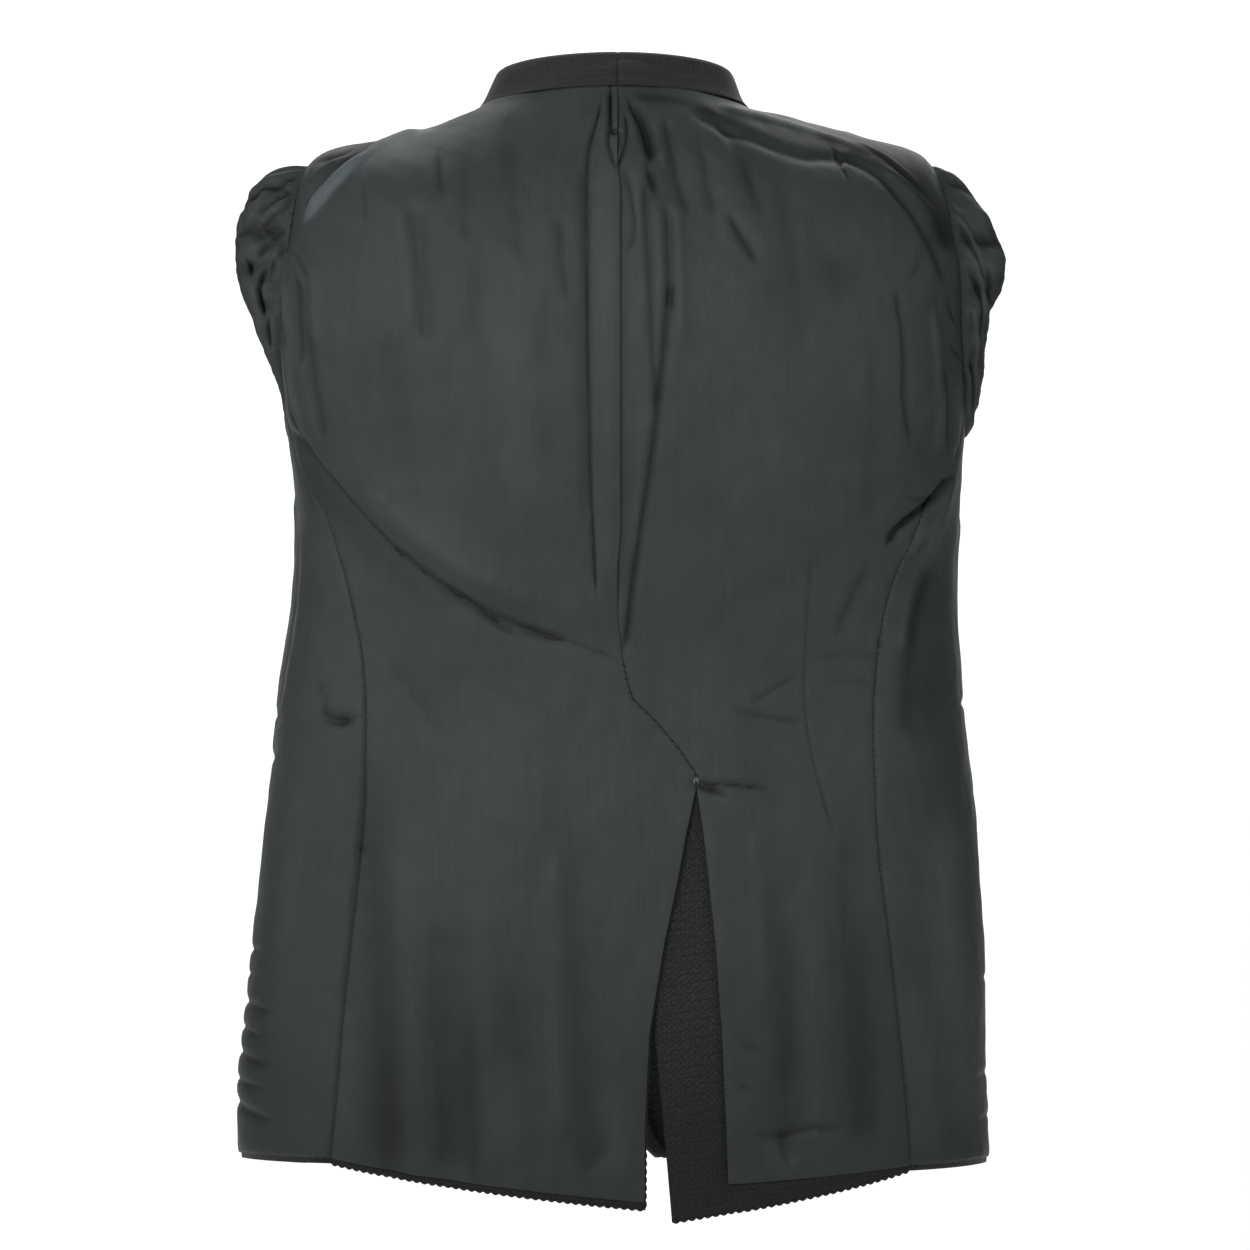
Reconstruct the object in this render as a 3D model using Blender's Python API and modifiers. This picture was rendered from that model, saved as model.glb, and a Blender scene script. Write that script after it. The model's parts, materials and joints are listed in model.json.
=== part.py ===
"""Tuxedo jacket worn inside out: satin lining outside, jacquard shell inside.

Metres, +Z up. The wearer faces -Y and their left is +X. The origin is at the back of
the neck, level with the neck seam, where the wearer's shoulders carry the jacket.

Every panel lies on one torso surface, torso(turn, level, side). turn is the angle in
degrees from the side (0) to the centre back (90) or the centre front (-90). level is
the height of the loop round the body at the centre back. side is 1 for the wearer's
left and -1 for their right.
"""
import math

import bpy
import numpy as np
from mathutils import Vector

# Cloth
SHELL_WALL = 0.0015
LINING_WALL = 0.0010
FACING_WALL = 0.0015
SEAM_GAP = 0.0003
NECK_GAP = 0.0012
LAYER_GAP = 0.0008
HEAD_GAP = 0.0005

# Loops round the body. side_z and chest_z are the loop's heights at the side and at
# the centre front, and the last value squares the loop off (2 is an ellipse).
LOOP_COLUMNS = ("level", "side_z", "chest_z", "left", "right", "back", "chest", "square")
LOOPS = (
    (-0.775, -0.762, -0.765, 0.2620, 0.2580, 0.128, 0.116, 2.5),
    (-0.690, -0.678, -0.690, 0.2635, 0.2560, 0.127, 0.115, 2.5),
    (-0.600, -0.590, -0.600, 0.2540, 0.2535, 0.124, 0.112, 2.5),
    (-0.500, -0.495, -0.500, 0.2440, 0.2475, 0.116, 0.106, 2.5),
    (-0.410, -0.405, -0.410, 0.2330, 0.2380, 0.106, 0.102, 2.5),
    (-0.330, -0.326, -0.330, 0.2230, 0.2340, 0.109, 0.107, 2.5),
    (-0.270, -0.262, -0.268, 0.2255, 0.2385, 0.118, 0.112, 2.6),
    (-0.225, -0.212, -0.222, 0.2310, 0.2405, 0.123, 0.113, 2.8),
    (-0.180, -0.160, -0.178, 0.2350, 0.2390, 0.124, 0.110, 2.9),
    (-0.138, -0.108, -0.136, 0.2290, 0.2340, 0.120, 0.103, 2.9),
    (-0.104, -0.047, -0.108, 0.2130, 0.2170, 0.111, 0.092, 2.7),
    (-0.062, -0.029, -0.092, 0.1550, 0.1700, 0.096, 0.078, 2.4),
    (-0.026, -0.016, -0.082, 0.1150, 0.1240, 0.079, 0.064, 2.2),
    (0.000, -0.008, -0.074, 0.0955, 0.0900, 0.064, 0.053, 2.2),
    (0.022, 0.0145, -0.058, 0.0835, 0.0785, 0.053, 0.045, 2.5),
)
NECK_LEVEL = 0.0
STAND_LEVEL = 0.022
TIP_LEVEL = -0.104

# Hem levels at the centre back, the side-back seam and the side-front seam, by side
HEM_CENTRE = {1: -0.757, -1: -0.766}
HEM_BACK_SEAM = {1: -0.736, -1: -0.742}
HEM_FRONT_SEAM = -0.766
LINING_HEM_CENTRE = {1: -0.752, -1: -0.741}
LINING_HEM_BACK_SEAM = {1: -0.732, -1: -0.738}
LINING_HEM_FRONT_SEAM = -0.762

# Armhole: an oval in turn and level, and where the side panel's two seams meet it
ARMHOLE_LEVEL = -0.176
ARMHOLE_DROP = 0.072
ARMHOLE_BACK_TURN = 20.0
ARMHOLE_FRONT_TURN = 30.0
BACK_SEAM_ANGLE = -38.0
FRONT_SEAM_ANGLE = 205.0
TOP_ANGLE = 78.0
SHOULDER_TURN = 5.0

# Side-back seam: distance from the centre plane at each level
BACK_SEAM_COLUMNS = ("level", "left", "right")
BACK_SEAM = (
    (-0.775, 0.197, 0.199),
    (-0.700, 0.190, 0.194),
    (-0.600, 0.181, 0.184),
    (-0.500, 0.172, 0.174),
    (-0.410, 0.171, 0.174),
    (-0.350, 0.181, 0.184),
    (-0.300, 0.197, 0.205),
    (-0.250, 0.219, 0.228),
)
BACK_SEAM_CURVE = -0.30
FRONT_SEAM_TURN = -36.0
FRONT_SEAM_CURVE = -0.34

# Centre back, each side's own edge: distance past the centre plane towards its own
# side, from the neck down to the slanted seam, the vent top and the hem
VENT_TOP = -0.478
CENTRE_COLUMNS = ("level", "left", "right", "right_lining")
CENTRE = (
    (-0.775, -0.0180, 0.0375, 0.0750),
    (-0.700, -0.0185, 0.0310, 0.0722),
    (-0.640, -0.0213, 0.0250, 0.0695),
    (-0.580, -0.0313, 0.0285, 0.0652),
    (-0.540, -0.0400, 0.0370, 0.0610),
    (-0.506, -0.0462, 0.0480, 0.0572),
    (-0.478, -0.0525, 0.0528, 0.0530),
    (-0.430, -0.0270, 0.0272, 0.0272),
    (-0.388, -0.0020, 0.0021, 0.0021),
    (-0.360, 0.0000, 0.0000, 0.0000),
    (0.022, 0.0000, 0.0000, 0.0000),
)
VENT_SINK = 0.0032
VENT_SINK_RUN = 0.026
VENT_STEP = 0.014

# Ease pleat in the centre back of the lining: the left laps over the right
PLEAT_TOP = -0.020
PLEAT_TOP_FULL = -0.050
PLEAT_FOOT_FULL = -0.300
PLEAT_FOOT = -0.330
PLEAT_LEFT_LAP = 0.002
PLEAT_RIGHT_LAP = 0.008
PLEAT_LAP_RUN = 0.030
PLEAT_LIFT = 0.0024
PLEAT_ROLL = 0.020

# The lining is full above the waist and pulled tight below a curved line
DRAPE_WAIST = -0.386
DRAPE_CURVE = 3.1
DRAPE_LEFT = 0.009
DRAPE_RIGHT = 0.003
DRAPE_STEP = 0.030
DRAPE_FADE = 0.110
DRAPE_MIDDLE = 0.030
DRAPE_SIDE_TURN = 25.0
DRAPE_ARMHOLE = 0.5
DRAPE_NECK = (-0.060, -0.030)

# Front edge and roll line, and the facing's inner edge
EDGE_COLUMNS = ("level", "edge", "facing")
EDGE = (
    (-0.775, 0.040, 0.104),
    (-0.748, 0.020, 0.094),
    (-0.700, 0.011, 0.086),
    (-0.600, 0.008, 0.081),
    (-0.500, 0.007, 0.080),
    (-0.440, 0.007, 0.080),
    (-0.380, 0.013, 0.084),
    (-0.300, 0.028, 0.092),
    (-0.220, 0.045, 0.102),
    (-0.140, 0.063, 0.112),
    (-0.104, 0.071, 0.115),
    (-0.062, 0.079, 0.113),
    (-0.030, 0.084, 0.106),
)
EDGE_TOP = -0.030
BUTTON_LEVEL = -0.440
FACING_TOP_TURN = -12.0
FACING_CURVE = -0.075
ROLL_TOP_COLUMNS = ("level", "turn")
ROLL_TOP = ((-0.030, -50.0), (0.002, -30.0), (0.015, -12.0), (0.022, 5.0))
NECK_SINK = 0.0018
NECK_SINK_LEVELS = (-0.070, -0.030)

# The collar and lapel fold in at the roll line: the fold's depth, and the width of
# the part inside, along the piece from hem to nape
FOLD_DEPTH = 0.0080
FALL_COLUMNS = ("along", "width")
FALL = (
    (0.00, 0.008),
    (0.33, 0.008),
    (0.56, 0.052),
    (0.70, 0.062),
    (0.80, 0.050),
    (1.00, 0.040),
)

# Sleeve head: how far each ring stands in from the armhole, how far out from it, and
# how near it is to the mouth's own shape, all as shares
HEAD_RINGS = (
    (0.000, 0.00, 0.0),
    (0.005, 0.34, 0.0),
    (0.050, 0.72, 0.0),
    (0.160, 0.96, 0.0),
    (0.300, 0.98, 0.0),
    (0.400, 0.76, 0.15),
    (0.460, 0.40, 0.45),
    (0.480, 0.10, 0.80),
    (0.480, 0.00, 1.0),
)

# How far the head stands out to the side, round the armhole
PUFF_COLUMNS = ("angle", "left", "right")
PUFF = (
    (-90, 0.002, 0.005),
    (-45, 0.004, 0.013),
    (0, 0.022, 0.022),
    (35, 0.038, 0.036),
    (65, 0.040, 0.026),
    (90, 0.038, 0.018),
    (140, 0.036, 0.028),
    (180, 0.022, 0.024),
    (225, 0.006, 0.010),
    (270, 0.002, 0.005),
)

# Folds that fan out over the head: angle and width round the armhole, and height
HEAD_FOLDS = (
    (14, 9, -0.0035),
    (34, 7, 0.0030),
    (52, 9, -0.0040),
    (70, 8, 0.0025),
    (92, 10, -0.0030),
    (112, 8, 0.0030),
    (132, 9, -0.0035),
    (158, 8, 0.0025),
    (190, 9, -0.0030),
)
MOUTH = (0.200, 0.000, -0.150)
MOUTH_HALF_HEIGHT = 0.044
MOUTH_HALF_WIDTH = 0.036

# Sleeve, hanging inside the side of the body, in rings from the mouth to the cuff: how
# far out, forward and up each centre is, the ring's tilt, and its half depth and width
SLEEVE_RINGS = (
    (0.1985, 0.000, -0.150, 0, 0.0442, 0.0362),
    (0.1860, 0.000, -0.157, 15, 0.0460, 0.0440),
    (0.1800, 0.000, -0.178, 45, 0.0450, 0.0530),
    (0.1800, 0.000, -0.215, 80, 0.0340, 0.0600),
    (0.1760, 0.000, -0.270, 90, 0.0280, 0.0630),
    (0.1710, 0.002, -0.340, 90, 0.0260, 0.0630),
    (0.1710, 0.004, -0.420, 90, 0.0260, 0.0620),
    (0.1750, 0.008, -0.500, 90, 0.0255, 0.0600),
    (0.1780, 0.012, -0.580, 90, 0.0250, 0.0580),
    (0.1800, 0.018, -0.655, 90, 0.0240, 0.0560),
)

# Front button, on the face turned towards the wearer
BUTTON_RADIUS = 0.010
BUTTON_THICK = 0.0035
BUTTON_SHANK = 0.0022
BUTTON_SET_IN = 0.030

# How finely each run of cloth is divided
ROWS_BODY = 18
ROWS_ARMHOLE = 5
ROWS_SHOULDER = 4
ROWS_SHOULDER_SEAM = 4
ROWS_NECK = 7
BACK_LINING_SHARES = (0, 0.14, 0.28, 0.42, 0.56, 0.70, 0.82, 0.91, 0.965, 1)
BACK_SHELL_SHARES = (0, 0.14, 0.28, 0.42, 0.56, 0.70, 0.82, 1)
SIDE_SHARES = (0, 0.25, 0.5, 0.75, 1)
FRONT_SHARES = (0, 0.5, 1)
FACING_SHARES = (0, 1 / 3, 2 / 3, 1)
FOLD_STEPS = 3
FALL_SHARES = (0.5, 1)
SLEEVE_POINTS = 18

LINING_COLOUR = (0.030, 0.036, 0.037, 1.0)
SHELL_COLOUR = (0.011, 0.011, 0.013, 1.0)
BUTTON_COLOUR = (0.012, 0.012, 0.013, 1.0)


def column(rows, names, name):
    return np.array([row[names.index(name)] for row in rows], float)


def smooth(keys, values, at):
    """A smooth curve through the table's values, flat beyond its ends."""
    at = np.clip(np.asarray(at, float), keys[0], keys[-1])
    secants = np.diff(values) / np.diff(keys)
    slopes = np.concatenate([secants[:1], (secants[1:] + secants[:-1]) / 2, secants[-1:]])
    i = np.clip(np.searchsorted(keys, at, side="right") - 1, 0, len(keys) - 2)
    span = keys[i + 1] - keys[i]
    t = (at - keys[i]) / span
    low = (1 + 2 * t) * (1 - t) ** 2 * values[i] + t * (1 - t) ** 2 * span * slopes[i]
    high = t * t * (3 - 2 * t) * values[i + 1] + t * t * (t - 1) * span * slopes[i + 1]
    return low + high


def ramp(value, start, end):
    """0 before start and 1 after end, with soft ends."""
    t = np.clip((np.asarray(value, float) - start) / (end - start), 0, 1)
    return t * t * (3 - 2 * t)


def loop_value(name, level):
    levels = column(LOOPS, LOOP_COLUMNS, "level")
    return smooth(levels, column(LOOPS, LOOP_COLUMNS, name), level)


def torso(turn, level, side):
    """Points of the torso surface, one for each pair of turn and level."""
    angle = np.radians(np.asarray(turn, float))
    level = np.asarray(level, float)
    across, along = np.cos(angle), np.sin(angle)
    square = loop_value("square", level)
    reach = (np.abs(across) ** square + np.abs(along) ** square) ** (-1 / square)
    half = loop_value("left" if side > 0 else "right", level)
    depth = np.where(along > 0, loop_value("back", level), loop_value("chest", level))
    side_z = loop_value("side_z", level)
    centre_z = np.where(along > 0, level, loop_value("chest_z", level))
    x = side * half * reach * across
    y = depth * reach * along
    z = side_z + (centre_z - side_z) * along**2
    return np.stack([x, y, z], axis=-1)


def outward(turn, level, side):
    """Unit normals of the torso surface, pointing away from the body."""
    step_turn, step_level = 0.5, 0.002
    level = np.clip(level, LOOPS[0][0] + step_level, STAND_LEVEL - step_level)
    round_body = torso(turn + step_turn, level, side) - torso(turn - step_turn, level, side)
    up_body = torso(turn, level + step_level, side) - torso(turn, level - step_level, side)
    normal = np.cross(round_body, up_body) * side
    return normal / np.linalg.norm(normal, axis=-1, keepdims=True)


def turn_at(x, level, side, front=False):
    """The turn at which a loop is x out from the centre plane, towards its own side."""
    level = np.asarray(level, float)
    square = loop_value("square", level)
    half = loop_value("left" if side > 0 else "right", level)
    share = np.clip(np.abs(x) / half, 0, 1)
    turn = np.degrees(np.arctan2((1 - share**square) ** (1 / square), share * np.sign(x)))
    return -turn if front else turn


def armhole(angle):
    """Turn and level on the armhole: angle 90 is its top and 0 its back."""
    angle = np.radians(np.asarray(angle, float))
    wide = np.where(np.cos(angle) > 0, ARMHOLE_BACK_TURN, ARMHOLE_FRONT_TURN)
    return np.stack([wide * np.cos(angle), ARMHOLE_LEVEL + ARMHOLE_DROP * np.sin(angle)], axis=-1)


def armhole_distance(turn, level):
    """0 on the armhole and 1 at twice its size, for what fades near it."""
    wide = np.where(np.asarray(turn) > 0, ARMHOLE_BACK_TURN, ARMHOLE_FRONT_TURN)
    reach = np.hypot(turn / wide, (level - ARMHOLE_LEVEL) / ARMHOLE_DROP)
    return np.maximum(reach - 1, 0)


def pleat_share(level, top, top_full, foot_full, foot):
    return ramp(-level, -top, -top_full) * (1 - ramp(-level, -foot_full, -foot))


def centre_edge(level, side, lining):
    """Distance of a back panel's centre edge from the centre plane."""
    name = "left" if side > 0 else ("right_lining" if lining else "right")
    levels = column(CENTRE, CENTRE_COLUMNS, "level")
    edge = np.interp(level, levels, column(CENTRE, CENTRE_COLUMNS, name))
    if lining:
        lap = PLEAT_LEFT_LAP if side > 0 else PLEAT_RIGHT_LAP
        edge = edge - lap * pleat_share(
            level, PLEAT_TOP_FULL, PLEAT_TOP_FULL - PLEAT_LAP_RUN, PLEAT_FOOT_FULL, PLEAT_FOOT
        )
    return edge


def vent_sink(points, level, side):
    """How far the right back lies in under the left one at the vent."""
    if side > 0:
        return 0
    levels = column(CENTRE, CENTRE_COLUMNS, "level")
    border = np.interp(level, levels, column(CENTRE, CENTRE_COLUMNS, "right_lining"))
    below = 1 - ramp(level, VENT_TOP - VENT_SINK_RUN, VENT_TOP)
    return VENT_SINK * below * (1 - ramp(-points[..., 0], border, border + VENT_STEP))


def lining_lift(points, turn, level, side):
    """How far the lining stands off the shell: the pleat's roll and the drape."""
    x, z = points[..., 0], points[..., 2]
    share = ramp(x, -DRAPE_MIDDLE, DRAPE_MIDDLE)
    full = DRAPE_RIGHT + (DRAPE_LEFT - DRAPE_RIGHT) * share
    above = z - (DRAPE_WAIST + DRAPE_CURVE * x**2)
    drape = full * ramp(above, 0, DRAPE_STEP) * np.exp(-np.maximum(above, 0) / DRAPE_FADE)
    drape *= ramp(turn, 0, DRAPE_SIDE_TURN)
    drape *= ramp(armhole_distance(turn, level), 0, DRAPE_ARMHOLE)
    drape *= 1 - ramp(level, *DRAPE_NECK)
    if side > 0:
        roll = 1 - ramp(x, 0, PLEAT_ROLL)
        drape = drape + PLEAT_LIFT * roll * pleat_share(
            level, NECK_LEVEL, PLEAT_TOP, PLEAT_FOOT, PLEAT_FOOT - PLEAT_LAP_RUN
        )
    return drape


def steps(start, end, count):
    """count values from start towards end, which is left out."""
    return [start + (end - start) * i / count for i in range(count)]


def low_levels(first_hem, hem, foot):
    """Levels from the hem towards the armhole's foot.

    Every layer shares the rows spread from hem, and its own first row is first_hem.
    """
    return [first_hem] + steps(hem, foot, ROWS_BODY)[1:]


def seam_turn(level, side):
    """Turn of the side-back seam, run on smoothly into the armhole."""
    levels = column(BACK_SEAM, BACK_SEAM_COLUMNS, "level")
    out = column(BACK_SEAM, BACK_SEAM_COLUMNS, "left" if side > 0 else "right")
    turn = turn_at(smooth(levels, out, level), level, side)
    top_turn, top_level = armhole(BACK_SEAM_ANGLE)
    return turn + (top_turn - turn) * ramp(level, BACK_SEAM_CURVE, top_level)


def front_seam_turn(level):
    """Turn of the side-front seam, run on smoothly into the armhole."""
    top_turn, top_level = armhole(FRONT_SEAM_ANGLE)
    share = ramp(level, FRONT_SEAM_CURVE, top_level)
    return FRONT_SEAM_TURN + (top_turn - FRONT_SEAM_TURN) * share


def edge_turn(level, side):
    """Turn of the front edge and, above the button, of the roll line."""
    levels = column(EDGE, EDGE_COLUMNS, "level")
    low = turn_at(smooth(levels, column(EDGE, EDGE_COLUMNS, "edge"), level), level, side, True)
    top_levels = column(ROLL_TOP, ROLL_TOP_COLUMNS, "level")
    high = smooth(top_levels, column(ROLL_TOP, ROLL_TOP_COLUMNS, "turn"), level)
    return low + (high - low) * ramp(level, EDGE_TOP - 0.02, EDGE_TOP)


def facing_turn(level, side):
    """Turn of the line where the facing meets the front lining."""
    levels = column(EDGE, EDGE_COLUMNS, "level")
    out = smooth(levels, column(EDGE, EDGE_COLUMNS, "facing"), level)
    turn = turn_at(out, level, side, True)
    return turn + (FACING_TOP_TURN - turn) * ramp(level, FACING_CURVE, EDGE_TOP)


def pairs(turns, levels):
    return np.stack([np.asarray(turns, float), np.asarray(levels, float)], axis=-1)


def body_levels(hem, seam_angle, top, first_hem, shoulder_rows=ROWS_SHOULDER):
    """Levels from the hem past the armhole's foot and top to the end of the shoulder."""
    foot = armhole(seam_angle)[1]
    below = low_levels(first_hem, hem, foot) + steps(foot, TIP_LEVEL, ROWS_ARMHOLE)
    return np.array(below + steps(TIP_LEVEL, top, shoulder_rows) + [top])


def outer_edge(seam, seam_angle, top_angle, top, hem, first_hem, shoulder_rows=ROWS_SHOULDER):
    """A front or back panel's outer edge: side seam, armhole and shoulder seam."""
    foot = armhole(seam_angle)[1]
    low = np.array(low_levels(first_hem, hem, foot))
    hole = armhole(np.array(steps(seam_angle, top_angle, ROWS_ARMHOLE)))
    high = np.array(steps(TIP_LEVEL, top, shoulder_rows) + [top])
    return np.concatenate([pairs(seam(low), low), hole, pairs(high * 0 + SHOULDER_TURN, high)])


def patch(first, last, shares, side, gaps=(SEAM_GAP, SEAM_GAP)):
    """Turns and levels on straight rows between two edges, clear of each seam."""
    width = np.linalg.norm(
        torso(first[:, 0], first[:, 1], side) - torso(last[:, 0], last[:, 1], side), axis=1
    )[:, None]
    start, end = gaps[0] / 2 / width, 1 - gaps[1] / 2 / width
    along = (start + (end - start) * np.array(shares))[:, :, None]
    return first[:, None, :] * (1 - along) + last[:, None, :] * along


def raised(grid, side, height):
    """Points of a patch, moved out from the torso surface by height."""
    turn, level = grid[..., 0], grid[..., 1]
    lift = np.broadcast_to(height, turn.shape)[..., None]
    return torso(turn, level, side) + outward(turn, level, side) * lift


def side_letter(side):
    return "L" if side > 0 else "R"


def material(name, colour, roughness):
    made = bpy.data.materials.new(name)
    made.use_nodes = True
    shader = made.node_tree.nodes["Principled BSDF"]
    shader.inputs["Base Color"].default_value = colour
    shader.inputs["Roughness"].default_value = roughness
    shader.inputs["Sheen Weight"].default_value = 0.2
    return made


def cloth(name, points, wall, collection, flip, colour, roughness, closed=False):
    """A cloth wall that grows outwards from a grid of points on its inner face."""
    rows, columns = points.shape[:2]
    around = columns if closed else columns - 1
    faces = []
    for i in range(rows - 1):
        for j in range(around):
            k = (j + 1) % columns
            corners = (i * columns + j, i * columns + k, (i + 1) * columns + k, (i + 1) * columns + j)
            faces.append(corners[::-1] if flip else corners)
    mesh = bpy.data.meshes.new(name)
    mesh.from_pydata([tuple(p) for p in points.reshape(-1, 3)], [], faces)
    mesh.shade_smooth()
    mesh.materials.append(material(name, colour, roughness))
    piece = bpy.data.objects.new(name, mesh)
    collection.objects.link(piece)
    thickness = piece.modifiers.new("Wall", "SOLIDIFY")
    thickness.thickness = wall
    thickness.offset = 1
    return piece


def lining_piece(name, grid, side, collection):
    turn, level = grid[..., 0], grid[..., 1]
    lift = LAYER_GAP + lining_lift(torso(turn, level, side), turn, level, side)
    points = raised(grid, side, lift)
    return cloth(name, points, LINING_WALL, collection, side < 0, LINING_COLOUR, 0.36)


def shell_piece(name, grid, side, collection):
    level = grid[..., 1]
    sink = NECK_SINK * ramp(level, *NECK_SINK_LEVELS) + SHELL_WALL
    if "back" in name:
        sink = sink + vent_sink(torso(grid[..., 0], level, side), level, side)
    points = raised(grid, side, -sink)
    return cloth(name, points, SHELL_WALL, collection, side < 0, SHELL_COLOUR, 0.8)


def back_grid(side, lining):
    hem = (LINING_HEM_CENTRE if lining else HEM_CENTRE)[side]
    seam_hem = (LINING_HEM_BACK_SEAM if lining else HEM_BACK_SEAM)[side]
    top = NECK_LEVEL - NECK_GAP
    centre_levels = body_levels(HEM_CENTRE[-1], BACK_SEAM_ANGLE, top, hem)
    centre_turns = turn_at(centre_edge(centre_levels, side, lining), centre_levels, side)
    outer = outer_edge(
        lambda level: seam_turn(level, side),
        BACK_SEAM_ANGLE, TOP_ANGLE, top, HEM_BACK_SEAM[side], seam_hem,
    )
    shares = BACK_LINING_SHARES if lining else BACK_SHELL_SHARES
    return patch(outer, pairs(centre_turns, centre_levels), shares, side)


def side_grid(side, lining):
    """The side panel, its top row bowed down round the foot of the armhole."""
    front_hem = LINING_HEM_FRONT_SEAM if lining else HEM_FRONT_SEAM
    back_hem = (LINING_HEM_BACK_SEAM if lining else HEM_BACK_SEAM)[side]
    front_top, back_top = armhole(FRONT_SEAM_ANGLE)[1], armhole(BACK_SEAM_ANGLE)[1]
    front = np.array(low_levels(front_hem, HEM_FRONT_SEAM, front_top) + [front_top])
    back = np.array(low_levels(back_hem, HEM_BACK_SEAM[side], back_top) + [back_top])
    first = pairs(front_seam_turn(front), front)
    grid = patch(first, pairs(seam_turn(back, side), back), SIDE_SHARES, side)
    bow = (np.arange(ROWS_BODY + 1) / ROWS_BODY)[:, None] ** 4
    grid[:, 1:-1] += bow[:, :, None] * (armhole(foot_angles()) - grid[-1])[None, 1:-1]
    return grid


def foot_angles():
    """Armhole angles of the side panel's top corners, from front to back."""
    span = 360 + BACK_SEAM_ANGLE - FRONT_SEAM_ANGLE
    return FRONT_SEAM_ANGLE + span * np.array(SIDE_SHARES)


def front_edges(side, first_hem):
    """The front's three lines: front edge, facing line and outer edge, row by row."""
    rows = ROWS_SHOULDER - 1
    levels = body_levels(HEM_FRONT_SEAM, FRONT_SEAM_ANGLE, EDGE_TOP, first_hem, rows)
    outer = outer_edge(
        front_seam_turn,
        FRONT_SEAM_ANGLE, 180 - TOP_ANGLE, EDGE_TOP, HEM_FRONT_SEAM, first_hem, rows,
    )
    return pairs(edge_turn(levels, side), levels), pairs(facing_turn(levels, side), levels), outer


def front_shell_grid(side):
    edge, line, outer = front_edges(side, HEM_FRONT_SEAM)
    top = NECK_LEVEL - NECK_GAP
    edge = np.concatenate([edge, pairs([edge_turn(top, side)], [top])])
    line = np.concatenate([line, [[(FACING_TOP_TURN + SHOULDER_TURN) / 2, top]]])
    outer = np.concatenate([outer, [[SHOULDER_TURN, top]]])
    inner = patch(edge, line, FACING_SHARES, side, (0, 0))
    return np.concatenate([inner[:, :-1], patch(line, outer, FRONT_SHARES, side, (0, SEAM_GAP))], axis=1)


def facing_points(side):
    """Facing and shawl collar in one: from hem to nape, folded in at the roll line."""
    edge, line, _ = front_edges(side, (HEM_FRONT_SEAM + LINING_HEM_FRONT_SEAM) / 2)
    corner = np.linspace([FACING_TOP_TURN, EDGE_TOP], [SHOULDER_TURN, EDGE_TOP], 3)[1:]
    neck = NECK_LEVEL + NECK_GAP
    shoulder = np.linspace([SHOULDER_TURN, EDGE_TOP], [SHOULDER_TURN, neck], ROWS_SHOULDER_SEAM - 1)[1:]
    shoulder = np.concatenate([corner, shoulder])
    rise = np.linspace(EDGE_TOP, STAND_LEVEL, len(shoulder) + 1)[1:]
    half_gap = math.degrees(SEAM_GAP / 2 / loop_value("back", NECK_LEVEL))
    nape = np.linspace(SHOULDER_TURN, 90 - half_gap, ROWS_NECK + 1)[1:]
    outer = np.concatenate([line, shoulder, pairs(nape, nape * 0 + neck)])
    roll = np.concatenate([edge, pairs(edge_turn(rise, side), rise), pairs(nape, nape * 0 + STAND_LEVEL)])
    width = np.linalg.norm(torso(*outer.T, side) - torso(*roll.T, side), axis=1)[:, None]
    shares = SEAM_GAP / width + (1 - SEAM_GAP / width) * (1 - np.array(FACING_SHARES))
    shares = shares[:, ::-1]
    leg = outer[:, None] * (1 - shares[..., None]) + roll[:, None] * shares[..., None]
    outside = raised(leg, side, LAYER_GAP)
    along = np.linspace(0, 1, len(outer))
    fall = smooth(column(FALL, FALL_COLUMNS, "along"), column(FALL, FALL_COLUMNS, "width"), along)
    fall = fall[:, None] / width * np.array(FALL_SHARES)
    fold_in = roll[:, None] + fall[..., None] * (outer - roll)[:, None]
    inside = raised(fold_in, side, LAYER_GAP - FOLD_DEPTH)
    at_roll = torso(*roll.T, side)
    normal = outward(*roll.T, side)
    beyond = at_roll - torso(*(roll + (outer - roll) * 0.05).T, side)
    beyond /= np.linalg.norm(beyond, axis=1, keepdims=True)
    bends = []
    for step in range(1, FOLD_STEPS + 1):
        angle = math.pi / 2 - math.pi * step / (FOLD_STEPS + 1)
        across = beyond * math.cos(angle) * FOLD_DEPTH / 2
        height = LAYER_GAP - FOLD_DEPTH / 2 + math.sin(angle) * FOLD_DEPTH / 2
        bends.append(at_roll + across + normal * height)
    turned = raised(roll, side, LAYER_GAP - FOLD_DEPTH)
    return np.concatenate([outside, np.stack(bends, axis=1), turned[:, None], inside], axis=1)


def puff(angle, side):
    angle = (np.asarray(angle) + 90) % 360 - 90
    name = "left" if side > 0 else "right"
    return smooth(column(PUFF, PUFF_COLUMNS, "angle"), column(PUFF, PUFF_COLUMNS, name), angle)


def head_folds(angle):
    """Height of the radiating folds of the sleeve head at each angle."""
    total = np.zeros_like(angle)
    for centre, width, height in HEAD_FOLDS:
        total += height * np.exp(-(((angle - centre) / width) ** 2) * 2)
    return total


def armhole_seam(side):
    """The panels' corners round the armhole and the points halfway between them."""
    back = steps(BACK_SEAM_ANGLE, TOP_ANGLE, ROWS_ARMHOLE)
    front = steps(FRONT_SEAM_ANGLE, 180 - TOP_ANGLE, ROWS_ARMHOLE)
    angles = back + [90.0] + front[::-1] + list(foot_angles()[1:-1])
    corners = armhole(np.array(angles))
    corners[len(back)] = (SHOULDER_TURN, TIP_LEVEL)
    corners = raised(corners, side, LAYER_GAP)
    angles = np.array(angles)
    halfway = (np.append(angles[1:], 360 + angles[0]) + angles) / 2
    between = (corners + np.roll(corners, -1, axis=0)) / 2
    return np.stack([angles, halfway], 1).ravel(), np.stack([corners, between], 1).reshape(-1, 3)


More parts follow.
